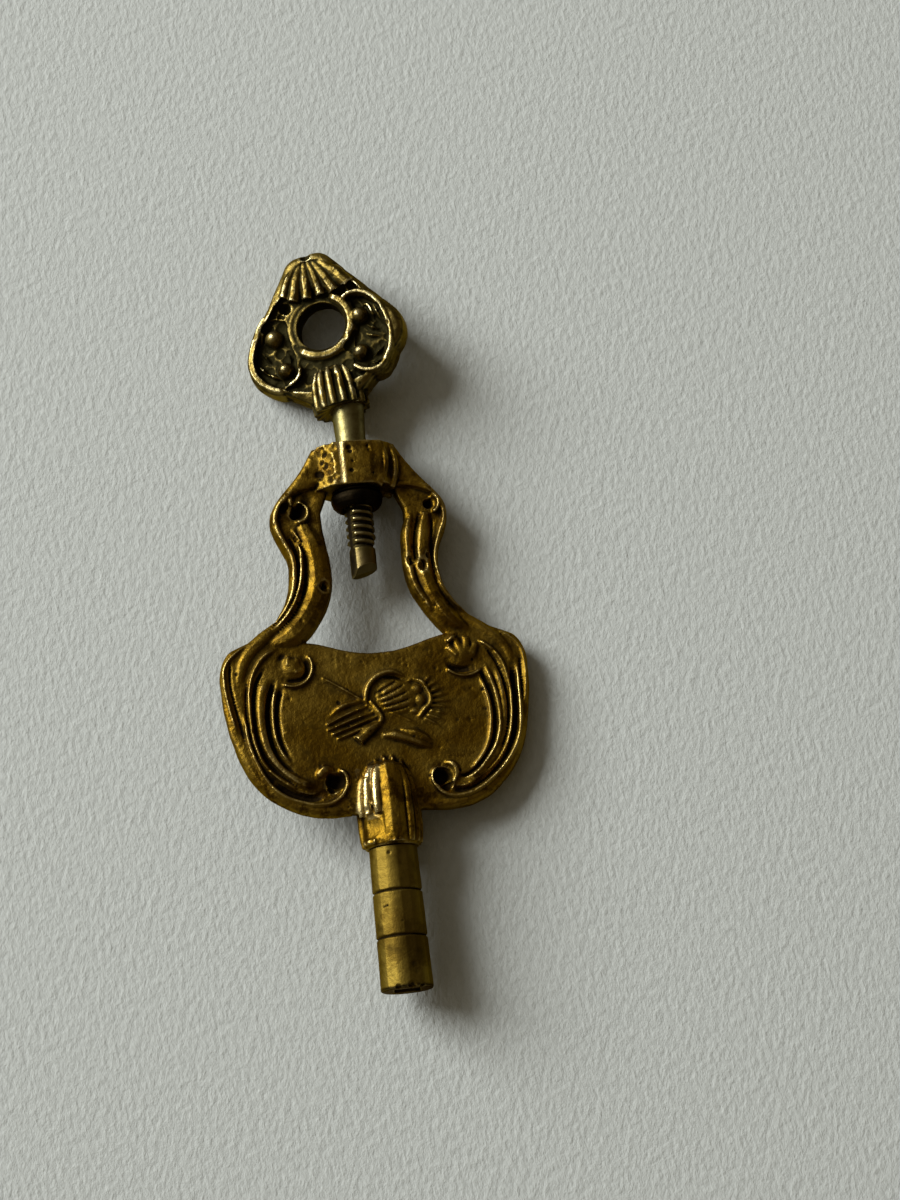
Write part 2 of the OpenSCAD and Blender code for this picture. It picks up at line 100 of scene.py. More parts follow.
# a rounded bar along a line, as deep front to back as it is told
def drawStrand(points, width, depth, z=0.0, tips=(0.4, 0.4), swell=None):
    strand = drawLine(points)
    line = strand.data
    line.resolution_u = 6
    line.bevel_depth = width / 2
    line.bevel_resolution = 3
    line.use_fill_caps = True
    line.twist_mode = "Z_UP"
    knots = line.splines[0].bezier_points
    knots[0].radius, knots[-1].radius = tips
    for knot, radius in zip(knots, swell or ()):
        knot.radius = radius
    bpy.ops.object.convert(target="MESH")
    strand.scale.z = depth / width
    strand.location.z = z
    applyAll(strand)
    return strand


def drawBead(place, size):
    deselectAll()
    bpy.ops.mesh.primitive_uv_sphere_add(segments=24, ring_count=14, radius=0.5, location=place, scale=size)
    bead = bpy.context.object
    applyAll(bead)
    return bead


# points on an arc or a spiral, angles in degrees
def arc(middle, fromAngle, toAngle, fromRadius, toRadius=None, steps=8):
    toRadius = fromRadius if toRadius is None else toRadius
    points = []
    for i in range(steps + 1):
        t = i / steps
        angle = math.radians(fromAngle + (toAngle - fromAngle) * t)
        radius = fromRadius + (toRadius - fromRadius) * t
        points.append((middle[0] + radius * math.cos(angle), middle[1] + radius * math.sin(angle)))
    return points


# welds a mesh that is being edited, and turns its faces outwards
def weldPoints(distance):
    bpy.ops.mesh.select_all(action="SELECT")
    bpy.ops.mesh.remove_doubles(threshold=distance)
    bpy.ops.mesh.normals_make_consistent(inside=False)
    bpy.ops.object.mode_set(mode="OBJECT")


# a flat casting with rounded edges: each outline is a closed list of knots with their two handles
def drawPlate(outlines, thickness, edge):
    deselectAll()
    bpy.ops.curve.primitive_bezier_curve_add(location=(0, 0, 0))
    plate = bpy.context.object
    data = plate.data
    data.dimensions = "2D"
    data.fill_mode = "BOTH"
    data.resolution_u = 10
    data.extrude = thickness / 2 - edge
    data.bevel_depth = edge
    data.bevel_resolution = 3
    data.offset = -edge
    data.splines.clear()
    for outline in outlines:
        spline = data.splines.new("BEZIER")
        spline.bezier_points.add(len(outline) - 1)
        spline.use_cyclic_u = True
        for knot, (before, middle, after) in zip(spline.bezier_points, outline):
            knot.handle_left_type = knot.handle_right_type = "FREE"
            knot.co = Vector(middle).to_3d()
            knot.handle_left = Vector(before).to_3d()
            knot.handle_right = Vector(after).to_3d()
    bpy.ops.object.convert(target="MESH")
    bpy.ops.object.mode_set(mode="EDIT")
    weldPoints(0.0005)
    applyAll(plate)
    return plate


# the other half of an outline whose first knot lies on the axis or beside it
def closeOutline(half, shift=0.0):
    def moved(p, sign):
        return (sign * p[0] + shift, p[1])
    right = [tuple(moved(p, 1) for p in knot) for knot in half]
    left = [tuple(moved(p, -1) for p in reversed(knot)) for knot in reversed(half)]
    if half[0][1][0] == 0:
        middle = half[0][1]
        ahead = half[0][2]
        right[0] = (moved(ahead, -1), moved(middle, 1), moved(ahead, 1))
        left.pop()
    return right + left


# a closed outline that runs smoothly through its points
def smoothOutline(points):
    knots = []
    for i, point in enumerate(points):
        before, after = Vector(points[i - 1]), Vector(points[(i + 1) % len(points)])
        reach = (after - before) / 6
        knots.append((tuple(Vector(point) - reach), point, tuple(Vector(point) + reach)))
    return knots


# a round body turned about the key's axis from radii and heights
def turnProfile(profile, steps=64, closed=False):
    line = drawLine([(r, y, 0) for r, y in profile], closed=closed, straight=True)
    line.data.resolution_u = 1
    bpy.ops.object.convert(target="MESH")
    bpy.ops.object.mode_set(mode="EDIT")
    bpy.ops.mesh.select_all(action="SELECT")
    bpy.ops.mesh.spin(steps=steps, angle=2 * math.pi, center=(0, 0, 0), axis=(0, 1, 0))
    weldPoints(0.001)
    return line


def copyTurned(piece, degrees):
    pick(piece)
    bpy.ops.object.duplicate()
    copied = bpy.context.object
    copied.rotation_euler.y = math.radians(degrees)
    applyAll(copied)
    return copied


def drawBlock(place, size, turn=(0, 0, 0)):
    deselectAll()
    angles = [math.radians(a) for a in turn]
    bpy.ops.mesh.primitive_cube_add(size=1, location=place, rotation=angles, scale=size)
    block = bpy.context.object
    applyAll(block)
    return block


# a round plug on the key's axis, to bore with
def drawPlug(radius, low, high):
    return turnProfile([(0, low), (radius, low), (radius, high), (0, high)])


def throwAway(piece):
    pick(piece)
    bpy.ops.object.delete()


def cutAway(piece, cutter, solver="EXACT"):
    addModifier(piece, "BOOLEAN", object=cutter, operation="DIFFERENCE", solver=solver)
    throwAway(cutter)


# joins bodies and melts them into one skin
def castTogether(bodies, name, voxel, smoothing):
    pick(*bodies)
    bpy.ops.object.join()
    piece = bpy.context.object
    piece.name = name
    addModifier(piece, "REMESH", mode="VOXEL", voxel_size=voxel, adaptivity=0)
    addModifier(piece, "SMOOTH", factor=0.5, iterations=smoothing)
    return piece


# a cast skin is never quite flat
def rippleSkin(piece, size, height):
    skin = bpy.data.textures.new("castSkin", "CLOUDS")
    skin.noise_scale = size
    skin.noise_depth = 2
    addModifier(piece, "DISPLACE", texture=skin, texture_coords="LOCAL", strength=height, mid_level=0.5)


def pointsOf(mesh):
    places = np.empty(3 * len(mesh.vertices), np.float32)
    mesh.vertices.foreach_get("co", places)
    return places.reshape(-1, 3)


def normalsOf(mesh):
    normals = np.empty(3 * len(mesh.vertices), np.float32)
    mesh.vertex_normals.foreach_get("vector", normals)
    return normals.reshape(-1, 3)


def setPoints(piece, places):
    piece.data.vertices.foreach_set("co", places.ravel())
    piece.data.update()


def readMark(piece, name):
    values = np.empty(len(piece.data.vertices), np.float32)
    piece.data.attributes[name].data.foreach_get("value", values)
    return values


def writeMark(piece, name, values):
    piece.data.attributes[name].data.foreach_set("value", values.astype(np.float32))


# a dent's floor is a little flat, so its rim lies past its radius
dentRim = 1.15


# presses dents into a skin: each has a place, a radius and a depth
def pressDents(piece, dents):
    places = pointsOf(piece.data)
    normals = normalsOf(piece.data)
    moves = np.zeros(len(places), np.float32)
    for place, radius, depth in dents:
        away = places - np.array(place, np.float32)
        reach = (away * away).sum(axis=1) / radius ** 2
        near = reach < dentRim
        moves[near] = np.maximum(moves[near], depth * np.clip(dentRim - reach[near], 0, 1))
    setPoints(piece, places - normals * moves[:, None])


# dents at some of a skin's own points, with radii and depths between two limits
def strayDents(chance, places, picks, radius, depth):
    return [(tuple(places[i]), chance.uniform(*radius), chance.uniform(*depth)) for i in picks]


# presses a groove along a line into the front of a flat skin, and its back too
def pressGroove(piece, points, radius, depth, backToo=True):
    line = drawLine(points)
    line.data.resolution_u = 8
    bpy.ops.object.convert(target="MESH")
    path = pointsOf(line.data)[:, :2]
    bpy.ops.object.delete()
    places = pointsOf(piece.data)
    low, high = path.min(axis=0) - radius, path.max(axis=0) + radius
    near = ((places[:, :2] > low) & (places[:, :2] < high)).all(axis=1)
    near = np.flatnonzero(near & (backToo | (places[:, 2] > 0)))
    away = np.full(len(near), np.inf, np.float32)
    for point in path:
        away = np.minimum(away, np.hypot(places[near, 0] - point[0], places[near, 1] - point[1]))
    ends = np.minimum(np.hypot(*(places[near, :2] - path[0]).T), np.hypot(*(places[near, :2] - path[-1]).T))
    fade = np.clip(ends / (3 * radius), 0.2, 1)  # shallower towards both ends
    places[near, 2] -= np.sign(places[near, 2]) * depth * fade * np.clip(1 - (away / radius) ** 2, 0, 1)
    setPoints(piece, places)


# hollow marks, for grime, painted shade and wear: how far a skin is smoothed to find each one, and the height
# that counts as full
hollowMarks = [("fineHollow", 0.26, 0.06), ("broadHollow", 0.67, 0.25), ("deepHollowAndPaint", 1.6, 0.45)]


# how hollow or proud each place of a skin is, against a smoothed copy of it
def markHollows(piece, voxel):
    places = pointsOf(piece.data)
    normals = normalsOf(piece.data)
    for name, distance, reach in hollowMarks:
        pick(piece)
        bpy.ops.object.duplicate()
        smooth = bpy.context.object
        addModifier(smooth, "SMOOTH", factor=0.5, iterations=round((distance / voxel) ** 2))
        hollow = ((pointsOf(smooth.data) - places) * normals).sum(axis=1) / reach
        hollow -= np.median(hollow)
        throwAway(smooth)
        piece.data.attributes.new(name, "FLOAT", "POINT")
        writeMark(piece, name, np.clip(hollow, -1, 1))


def countTriangles(piece):
    return sum(len(face.vertices) - 2 for face in piece.data.polygons)


def thinTo(piece, triangles):
    count = countTriangles(piece)
    if count > triangles:
        addModifier(piece, "DECIMATE", ratio=triangles / count)


# brings a piece from millimetres to its place in the frame, and sets it on its body
def finishPiece(piece, node, body, material, turn=None):
    piece.data.transform(Matrix.Scale(mm, 4) @ (turn or Matrix.Identity(4)))
    piece.data.materials.clear()
    piece.data.materials.append(material)
    pick(piece)
    bpy.ops.object.shade_smooth()
    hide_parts(node)
    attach(piece, body)
    reach = pointsOf(piece.data)
    print(piece.name, "triangles:", countTriangles(piece), "from", reach.min(axis=0), "to", reach.max(axis=0))


# sets an input of a node: a link from another node, or a plain value
def feed(tree, socket, value):
    if isinstance(value, bpy.types.NodeSocket):
        tree.links.new(value, socket)
    else:
        socket.default_value = value


def addNode(tree, kind, inputs=None, **settings):
    node = tree.nodes.new(kind)
    for key, value in settings.items():
        setattr(node, key, value)
    for key, value in (inputs or {}).items():
        feed(tree, node.inputs[key], value)
    return node


def addNoise(tree, place, size, detail, roughness):
    inputs = {"Vector": place, "Scale": 1.0 / size, "Detail": detail, "Roughness": roughness}
    return addNode(tree, "ShaderNodeTexNoise", inputs).outputs["Fac"]


def addRamp(tree, source, low, high, start=0.0, end=1.0):
    inputs = {"Value": source, "From Min": low, "From Max": high, "To Min": start, "To Max": end}
    return addNode(tree, "ShaderNodeMapRange", inputs, clamp=True).outputs["Result"]


def addMath(tree, operation, first, second):
    return addNode(tree, "ShaderNodeMath", {0: first, 1: second}, operation=operation).outputs[0]


def addBump(tree, height, strength, distance):
    inputs = {"Height": height, "Strength": strength, "Distance": distance}
    return addNode(tree, "ShaderNodeBump", inputs).outputs["Normal"]


# colours are plain triples or come from another node
def mixColours(tree, amount, first, second):
    first, second = ((*c, 1.0) if isinstance(c, tuple) else c for c in (first, second))
    return addNode(tree, "ShaderNodeMix", {"Factor": amount, 6: first, 7: second},
                   data_type="RGBA").outputs[2]


def startMaterial(name):
    material = bpy.data.materials.new(name)
    material.use_nodes = True
    tree = material.node_tree
    return material, tree, addNode(tree, "ShaderNodeTexCoord").outputs["Object"]


def feedShader(tree, inputs):
    for key, value in inputs.items():
        feed(tree, tree.nodes["Principled BSDF"].inputs[key], value)


# brass finishes: colours are linear, grain and heights along the key are in metres
finishes = {
    "bowBrass": {
        "body": (0.152, 0.084, 0.0062), "spot": (0.215, 0.136, 0.019), "patina": (0.045, 0.021, 0.0022),
        # the first colour here darkens specks and hollows, the hollows partly as painted shade; the last is a
        # painted highlight
        "grimeAndShade": (0.012, 0.0065, 0.0018), "worn": (0.52, 0.40, 0.145), "paintedHighlight": (0.66, 0.53, 0.24),
        "rough": 0.42, "grain": 0.0009, "pits": 0.4, "deep": 0.35, "dirtAndShade": (0.10, 0.62), "bare": (0.34, 1.10),
        "mottle": {"foot": (0.0152, 0.0170), "head": (0.0240, 0.0275)},
    },
    "pendantBrass": {
        "body": (0.145, 0.101, 0.024), "spot": (0.20, 0.147, 0.042), "patina": (0.050, 0.035, 0.008),
        "grimeAndShade": (0.015, 0.0125, 0.0036), "worn": (0.80, 0.70, 0.38),
        "rough": 0.34, "grain": 0.0009, "pits": 0.4, "deep": 1.0, "dirtAndShade": (0.04, 0.50), "bare": (0.24, 0.80),
    },
    "pipeBrass": {
        "body": (0.148, 0.100, 0.0165), "spot": (0.115, 0.073, 0.011), "patina": (0.070, 0.042, 0.006),
        "grimeAndShade": (0.010, 0.006, 0.002), "worn": (0.30, 0.23, 0.09),
        "rough": 0.50, "grain": 0.0016, "pits": 0.25, "deep": 0.0, "dirtAndShade": (0.10, 0.45), "bare": (0.35, 0.95),
        # the mouth's end face is darkened nearly black: painted shade
        "zone": {"below": 0.00012, "above": 0.0003, "colour": (0.010, 0.006, 0.0025)},
    },
    "stemBrass": {
        "body": (0.190, 0.164, 0.066), "spot": (0.15, 0.124, 0.044), "patina": (0.11, 0.085, 0.028),
        "grimeAndShade": (0.010, 0.007, 0.003), "worn": (0.50, 0.42, 0.20),
        "rough": 0.40, "grain": 0.0012, "pits": 0.15, "deep": 0.9, "dirtAndShade": (0.10, 0.5), "bare": (0.3, 0.9),
        "zone": {"below": 0.0360, "above": 0.0372, "colour": (0.125, 0.093, 0.036)},
    },
    # near black, for the washer and nut: painted shade under the boss
    "shadeBlackBrass": {
        "body": (0.007, 0.005, 0.003), "spot": (0.013, 0.009, 0.004), "patina": (0.004, 0.003, 0.0015),
        "grimeAndShade": (0.003, 0.002, 0.001), "worn": (0.10, 0.075, 0.033),
        "rough": 0.50, "grain": 0.0008, "pits": 0.2, "deep": 0.0, "dirtAndShade": (0.14, 0.6), "bare": (0.5, 1.0),
    },
}

# what the finishes share: the levels between which a layer comes in, and how strong it gets
tarnish = {
    "clouds": (0.42, 0.66), "blotches": (0.49, 0.58, 0.0, 0.8), "specks": (0.56, 0.78, 0.0, 0.65),
    "footBlotches": 1.15, "fewBlotches": 0.45, "fineShare": 0.8, "broadShare": 0.9,
    "uneven": (0.3, 0.7, -0.12, 0.12), "bareMost": 0.85, "highlightPaint": (-0.95, -0.55, 0.6, 0.0),
    "metal": (0.2, 1.0, 1.0, 0.85), "tint": (0.62, 0.50, 0.30, 1.0), "roughClouds": (0.35, 0.7),
    "smoother": 0.05, "rougher": 0.08, "dirtAndShadeRough": 0.28, "bareSmooth": 0.16,
    "pitHeight": 0.00012, "grainShare": 0.5, "pitSpecks": (0.25, 0.6),
}


def makeBrass(name):
    look = finishes[name]
    material, tree, place = startMaterial(name)
    marks = [addNode(tree, "ShaderNodeAttribute", attribute_name=mark[0]) for mark in hollowMarks]
    fine, broad, deep = (mark.outputs["Fac"] for mark in marks)
    height = addNode(tree, "ShaderNodeSeparateXYZ", {0: place}).outputs["Y"]
    cloud = addNoise(tree, place, 4 * look["grain"], 3, 0.55)
    speck = addNoise(tree, place, look["grain"], 5, 0.65)
    grain = addNoise(tree, place, look["grain"] / 5, 4, 0.6)
    blotch = addNoise(tree, place, 1.7 * look["grain"], 6, 0.7)

    # tarnish lies in clouds, grime and painted shade in the hollows, and bright worn metal on what stands
    # proud
    colour = mixColours(tree, addRamp(tree, cloud, *tarnish["clouds"]), look["body"], look["spot"])
    if "zone" in look:
        # a darker end, by the height along the key: painted shade on the pipe's mouth, a darker tail on the
        # stem
        zone = addRamp(tree, height, look["zone"]["below"], look["zone"]["above"], 1.0, 0.0)
        colour = mixColours(tree, zone, colour, look["zone"]["colour"])
    patina = addRamp(tree, blotch, *tarnish["blotches"])
    if "mottle" in look:
        # fewer blotches between two heights along the key
        few = tarnish["fewBlotches"]
        foot = addRamp(tree, height, *look["mottle"]["foot"], tarnish["footBlotches"], few)
        head = addRamp(tree, height, *look["mottle"]["head"], few, 1.0)
        patina = addMath(tree, "MULTIPLY", patina, addMath(tree, "MAXIMUM", foot, head))
    colour = mixColours(tree, patina, colour, look["patina"])
    colour = mixColours(tree, addRamp(tree, speck, *tarnish["specks"]), colour, look["grimeAndShade"])
    hollow = addMath(tree, "MULTIPLY", fine, tarnish["fineShare"])
    for mark, share in ((broad, tarnish["broadShare"]), (deep, look["deep"])):
        hollow = addMath(tree, "ADD", hollow, addMath(tree, "MULTIPLY", mark, share))
    uneven = addMath(tree, "ADD", hollow, addRamp(tree, speck, *tarnish["uneven"]))
    # hollows darken: partly grime, partly painted shade where the hollows lie
    dirtAndShade = addRamp(tree, uneven, *look["dirtAndShade"])
    colour = mixColours(tree, dirtAndShade, colour, look["grimeAndShade"])
    proud = addMath(tree, "MULTIPLY", uneven, -1.0)
    bare = addRamp(tree, proud, *look["bare"], 0.0, tarnish["bareMost"])
    colour = mixColours(tree, bare, colour, look["worn"])
    if "paintedHighlight" in look:
        # worn bright on what stands highest, and a painted highlight on the collar's left flutes and a facet
        # of the boss
        paintedHighlight = addRamp(tree, deep, *tarnish["highlightPaint"])
        colour = mixColours(tree, paintedHighlight, colour, look["paintedHighlight"])
        bare = addMath(tree, "ADD", bare, paintedHighlight)
    smooth, dull = look["rough"] - tarnish["smoother"], look["rough"] + tarnish["rougher"]
    rough = addRamp(tree, cloud, *tarnish["roughClouds"], smooth, dull)
    rough = addMath(tree, "ADD", rough, addMath(tree, "MULTIPLY", dirtAndShade, tarnish["dirtAndShadeRough"]))
    rough = addMath(tree, "SUBTRACT", rough, addMath(tree, "MULTIPLY", bare, tarnish["bareSmooth"]))
    pits = addMath(tree, "MULTIPLY", grain, tarnish["grainShare"])
    pits = addMath(tree, "ADD", pits, addRamp(tree, speck, *tarnish["pitSpecks"]))
    feedShader(tree, {
        "Base Color": colour, "Metallic": addRamp(tree, dirtAndShade, *tarnish["metal"]), "Roughness": rough,
        "Specular Tint": tarnish["tint"], "Normal": addBump(tree, pits, look["pits"], tarnish["pitHeight"]),
    })
    return material


materials = {name: makeBrass(name) for name in finishes}
print("materials ready")

# the cast bow: plate, arms, head, boss and collar as one skin, modelled flat and then rolled
bow = {
    "roll": 8, "voxel": 0.075, "smoothing": 3, "triangles": 195000, "ripple": (1.1, 0.05),
    "plateThick": 1.15, "plateEdge": 0.28, "headThick": 2.0, "headEdge": 0.4, "windowShift": 0.25,
    "foot": (0, 12.5), "widest": (11.1, 22.9), "corner": (10.15, 25.0), "waist": (5.4, 30.5),
    "shoulder": (6.45, 34.6), "flank": (3.65, 38.65), "headCorner": (3.0, 39.8),
    "windowFoot": (5.15, 25.3), "windowWaist": (2.75, 30.8), "windowHead": (3.05, 34.9),
    "sag": (0, 24.2), "webFoot": (2.5, 36.15), "windowTop": (2.5, 36.85),
    "bossPlace": (0.05, 38.15, 0), "bossSize": (6.0, 3.3, 4.0), "bossBevel": 1.25, "bossCrown": (6.2, 4.45),
    "bore": (1.15, 36.0, 40.5), "tenonHole": (1.22, 9.5, 14.02),  # radius, and the heights it runs between
}


def bowOutline():
    widest, corner, waist = bow["widest"], bow["corner"], bow["waist"]
    shoulder, flank, headCorner = bow["shoulder"], bow["flank"], bow["headCorner"]
    half = [
        (bow["foot"], bow["foot"], (8.0, 12.5)),
        ((11.1, 15.4), widest, (11.1, 23.85)),
        ((10.58, 24.8), corner, (8.0, 25.95)),
        ((5.4, 26.55), waist, (5.4, 32.35)),
        ((6.45, 32.75), shoulder, (6.45, 35.95)),
        ((4.9, 36.8), flank, flank),
        (headCorner, headCorner, headCorner),
    ]
    return closeOutline(half)


def windowOutline():
    foot, waist, head = bow["windowFoot"], bow["windowWaist"], bow["windowHead"]
    half = [
        (bow["sag"], bow["sag"], (2.3, 24.2)),
        ((2.9, 24.9), foot, (4.1, 26.4)),
        ((2.75, 28.3), waist, (2.75, 32.6)),
        ((3.05, 33.0), head, head),
        (bow["webFoot"], bow["webFoot"], bow["webFoot"]),
        (bow["windowTop"], bow["windowTop"], bow["windowTop"]),
    ]
    return closeOutline(half, bow["windowShift"])


def headOutline():
    flank, headCorner = bow["flank"], bow["headCorner"]
    half = [
        ((1.5, 36.9), (1.5, 36.9), (4.2, 37.0)),
        ((4.6, 35.9), (5.7, 36.0), (5.5, 36.4)),
        ((4.9, 36.8), flank, flank),
        (headCorner, headCorner, headCorner),
    ]
    return closeOutline(half)


# scrolls of the plate: width, depth front to back, swelling along it, then the points
plateScrolls = [
    # right side, from the edge inwards
    (1.0, 1.40, [0.8, 1, 1, 1, 1, 0.9, 0.6, 0.3],
     [(2.6, 12.95), (4.6, 12.95), (6.6, 13.4), (8.3, 14.7), (9.6, 16.6), (10.25, 18.7), (10.55, 20.8),
      (10.65, 22.4)]),
    (0.34, 1.53, None,
     [(8.4, 25.6), (9.8, 24.8), (10.6, 23.9), (10.82, 22.7), (10.75, 21.2), (10.5, 19.8), (10.2, 18.9)]),
    (1.1, 1.57, [0.8, 1, 1, 0.9, 0.6, 0.3],
     [(6.6, 26.6), (8.0, 25.5), (9.2, 24.5), (9.8, 23.4), (9.95, 22.0), (9.9, 20.8)]),
    (0.52, 1.81, None,
     [(10.3, 23.3), (10.18, 21.28), (10.11, 19.0), (9.82, 17.35), (9.07, 15.93), (7.96, 14.75), (6.49, 13.69),
      (5.1, 13.32), (4.07, 13.5), (3.48, 14.1), (3.26, 14.75), (3.5, 15.3), (4.05, 15.5)]),
    (0.46, 1.74, None,
     [(7.3, 24.75), (7.96, 24.3), (8.94, 23.27), (9.44, 21.63), (9.52, 19.84), (9.25, 17.88), (8.62, 16.26),
      (7.4, 14.89), (5.95, 14.03), (4.6, 13.95)]),
    (0.8, 1.57, None,
     [(8.3, 23.2), (8.8, 21.7), (9.0, 20.1), (8.9, 18.3), (8.45, 16.8), (7.4, 15.45), (6.2, 14.5),
      (4.9, 14.2)]),
    (0.54, 1.81, None,
     [(7.78, 23.35), (8.18, 21.72), (8.5, 20.31), (8.57, 18.72), (8.31, 17.36), (7.53, 16.05), (6.43, 14.86),
      (5.03, 14.39)]),
    (0.48, 1.67, None,
     [(7.27, 22.29), (7.63, 21.17), (7.93, 19.56), (7.8, 17.99), (7.43, 16.84), (6.51, 15.54),
      (5.67, 14.92)]),
    (0.72, 1.98, [0.6, 1, 1, 0.8, 0.5],
     [(4.1, 15.8), (4.75, 15.6), (5.0, 15.0), (4.8, 14.4), (4.5, 14.15)]),
    # left side, from the edge inwards
    (1.15, 1.40, [0.8, 1, 1, 1, 1, 0.9, 0.6, 0.3],
     [(-2.6, 12.95), (-4.9, 13.1), (-6.9, 13.85), (-8.5, 15.1), (-9.55, 16.9), (-10.1, 18.7), (-10.4, 20.4),
      (-10.65, 21.8)]),
    (0.36, 1.57, None,
     [(-8.4, 25.6), (-9.8, 24.8), (-10.7, 23.8), (-10.82, 22.5), (-10.65, 21.0), (-10.35, 19.5),
      (-10.0, 18.3)]),
    (1.25, 1.64, [0.8, 1, 1, 0.95, 0.7, 0.4, 0.25],
     [(-6.6, 26.6), (-8.0, 25.5), (-9.05, 24.5), (-9.6, 23.3), (-9.75, 22.0), (-9.65, 20.6), (-9.55, 19.0)]),
    (0.50, 1.81, None,
     [(-9.69, 20.97), (-9.57, 19.29), (-9.4, 17.9), (-9.0, 16.6), (-8.4, 15.35), (-7.55, 14.35),
      (-6.17, 13.66), (-4.76, 13.36), (-3.66, 13.6), (-2.98, 14.3), (-2.8, 15.0), (-3.05, 15.62),
      (-3.58, 15.8)]),
    (0.46, 1.74, None,
     [(-6.3, 25.0), (-7.61, 24.56), (-8.52, 23.59), (-9.08, 22.14), (-9.21, 20.57), (-9.15, 18.89),
      (-8.91, 17.58), (-8.51, 16.54), (-7.84, 15.7), (-6.9, 14.95), (-5.9, 14.4)]),
    (1.05, 1.81, None,
     [(-7.29, 23.13), (-8.1, 22.07), (-8.4, 20.7), (-8.4, 18.84), (-8.08, 17.43), (-7.5, 16.4), (-6.8, 15.6),
      (-5.8, 14.95), (-4.6, 14.6)]),
    (0.40, 1.64, None,
     [(-6.99, 22.46), (-7.38, 21.55), (-7.6, 20.17), (-7.59, 18.78), (-7.4, 17.84), (-6.95, 16.88),
      (-6.1, 15.9)]),
    (1.05, 2.00, [0.35, 0.9, 1, 0.7],
     [(-5.1, 15.15), (-4.75, 15.5), (-4.3, 15.85), (-3.8, 15.95)]),
]

# rosettes where the scrolls meet the arms: a ball, the crescent below it, and lobes that spread from a root
rosettes = [
    {"place": (6.42, 23.65), "size": (2.3, 2.2, 1.85), "crescent": (1.68, -145, -40), "root": (6.55, 22.95),
     "lobe": (0.95, 1.93),
     "lobes": [(5.35, 24.2), (5.95, 24.75), (6.75, 24.85), (7.45, 24.3)]},
    {"place": (-5.95, 23.45), "size": (1.7, 1.8, 1.85), "crescent": (1.42, -130, 40), "root": (-6.3, 22.9),
     "lobe": (0.75, 1.92),
     "lobes": [(-5.2, 23.3), (-5.45, 24.05), (-6.15, 24.3)]},
]

# the crescents' width and depth, and a bright wedge where the right rosette meets the window
crescentBar = (0.34, 1.85)
wedge = {"width": 0.6, "depth": 2.0, "points": [(5.35, 24.55), (5.75, 24.85), (6.15, 25.3)]}

# grooves pressed between the scrolls: radius, depth, points
plateGrooves = [
    (0.27, 0.30, [(9.9, 22.6), (9.84, 20.8), (9.72, 18.83), (9.2, 16.95), (8.05, 15.28), (6.86, 14.38),
                  (5.3, 13.75), (4.4, 13.95)]),
    (0.19, 0.24, [(7.5, 22.4), (7.9, 21.3), (8.2, 20.0), (8.2, 18.4), (7.88, 17.0), (7.0, 15.75),
                  (5.9, 14.85), (5.2, 14.7)]),
    (0.15, 0.19, [(8.2, 23.9), (8.8, 22.7), (9.15, 21.2), (9.25, 19.7), (9.0, 17.9), (8.4, 16.4)]),
    (0.14, 0.14, [(10.5, 23.2), (10.45, 21.6), (10.3, 20.0)]),
    (0.31, 0.32, [(-8.0, 15.3), (-7.2, 14.6), (-6.2, 14.1), (-5.2, 13.9), (-4.4, 14.2)]),
    (0.17, 0.23, [(-8.0, 23.4), (-8.55, 22.5), (-8.88, 21.0), (-8.9, 19.2), (-8.7, 17.9), (-8.2, 16.7),
                  (-7.4, 15.75), (-6.4, 14.9)]),
    (0.22, 0.30, [(-7.3, 22.5), (-7.7, 21.5), (-7.95, 20.4), (-7.98, 19.0), (-7.75, 17.6), (-7.2, 16.5),
                  (-6.4, 15.7)]),
    (0.24, 0.20, [(-6.75, 22.2), (-7.05, 21.3), (-7.28, 20.2), (-7.28, 19.0), (-7.1, 17.8), (-6.6, 16.8)]),
    (0.14, 0.17, [(-9.25, 22.4), (-9.42, 21.2), (-9.42, 19.6), (-9.25, 18.0), (-8.9, 16.8)]),
    (0.14, 0.17, [(-10.3, 24.0), (-10.4, 22.6), (-10.2, 21.0), (-9.95, 19.6), (-9.75, 18.4)]),
    (0.17, 0.22, [(-4.95, 33.3), (-4.25, 31.6), (-4.27, 30.2), (-4.6, 28.8), (-5.4, 27.3), (-6.6, 26.1)]),
    (0.15, 0.20, [(-5.3, 33.2), (-4.88, 31.8), (-4.85, 30.4), (-5.2, 28.9), (-6.0, 27.5), (-7.2, 26.4)]),
    (0.17, 0.30, [(4.35, 34.3), (3.95, 33.02), (3.75, 31.69), (3.76, 30.5)]),
    (0.14, 0.17, [(5.3, 33.9), (5.05, 32.6), (4.92, 31.4), (5.0, 30.2), (5.3, 29.0)]),
    (0.26, 0.17, [(-6.9, 23.6), (-6.7, 24.2), (-6.1, 24.5)]),
    (0.26, 0.30, [(5.2, 23.2), (5.5, 22.75), (6.2, 22.5), (7.0, 22.6)]),
    (0.22, 0.26, [(-6.6, 22.6), (-5.9, 22.5), (-5.1, 22.75), (-4.85, 23.5), (-5.1, 24.1)]),
]


def addPlateScrolls(bodies):
    for width, depth, swell, points in plateScrolls:
        bodies.append(drawStrand(points, width, depth, tips=(0.5, 0.5), swell=swell))
    for rosette in rosettes:
        bodies.append(drawBead((*rosette["place"], 0), rosette["size"]))
        rootX, rootY = rosette["root"]
        for x, y in rosette["lobes"]:
            points = [(rootX, rootY), ((rootX + x) / 2, (rootY + y) / 2), (x, y)]
            bodies.append(drawStrand(points, *rosette["lobe"], tips=(0.5, 0.8)))
        radius, first, last = rosette["crescent"]
        points = arc(rosette["place"], first, last, radius, None, 10)
        bodies.append(drawStrand(points, *crescentBar, tips=(0.5, 0.5)))
    bodies.append(drawStrand(wedge["points"], wedge["width"], wedge["depth"], tips=(0.9, 0.5)))


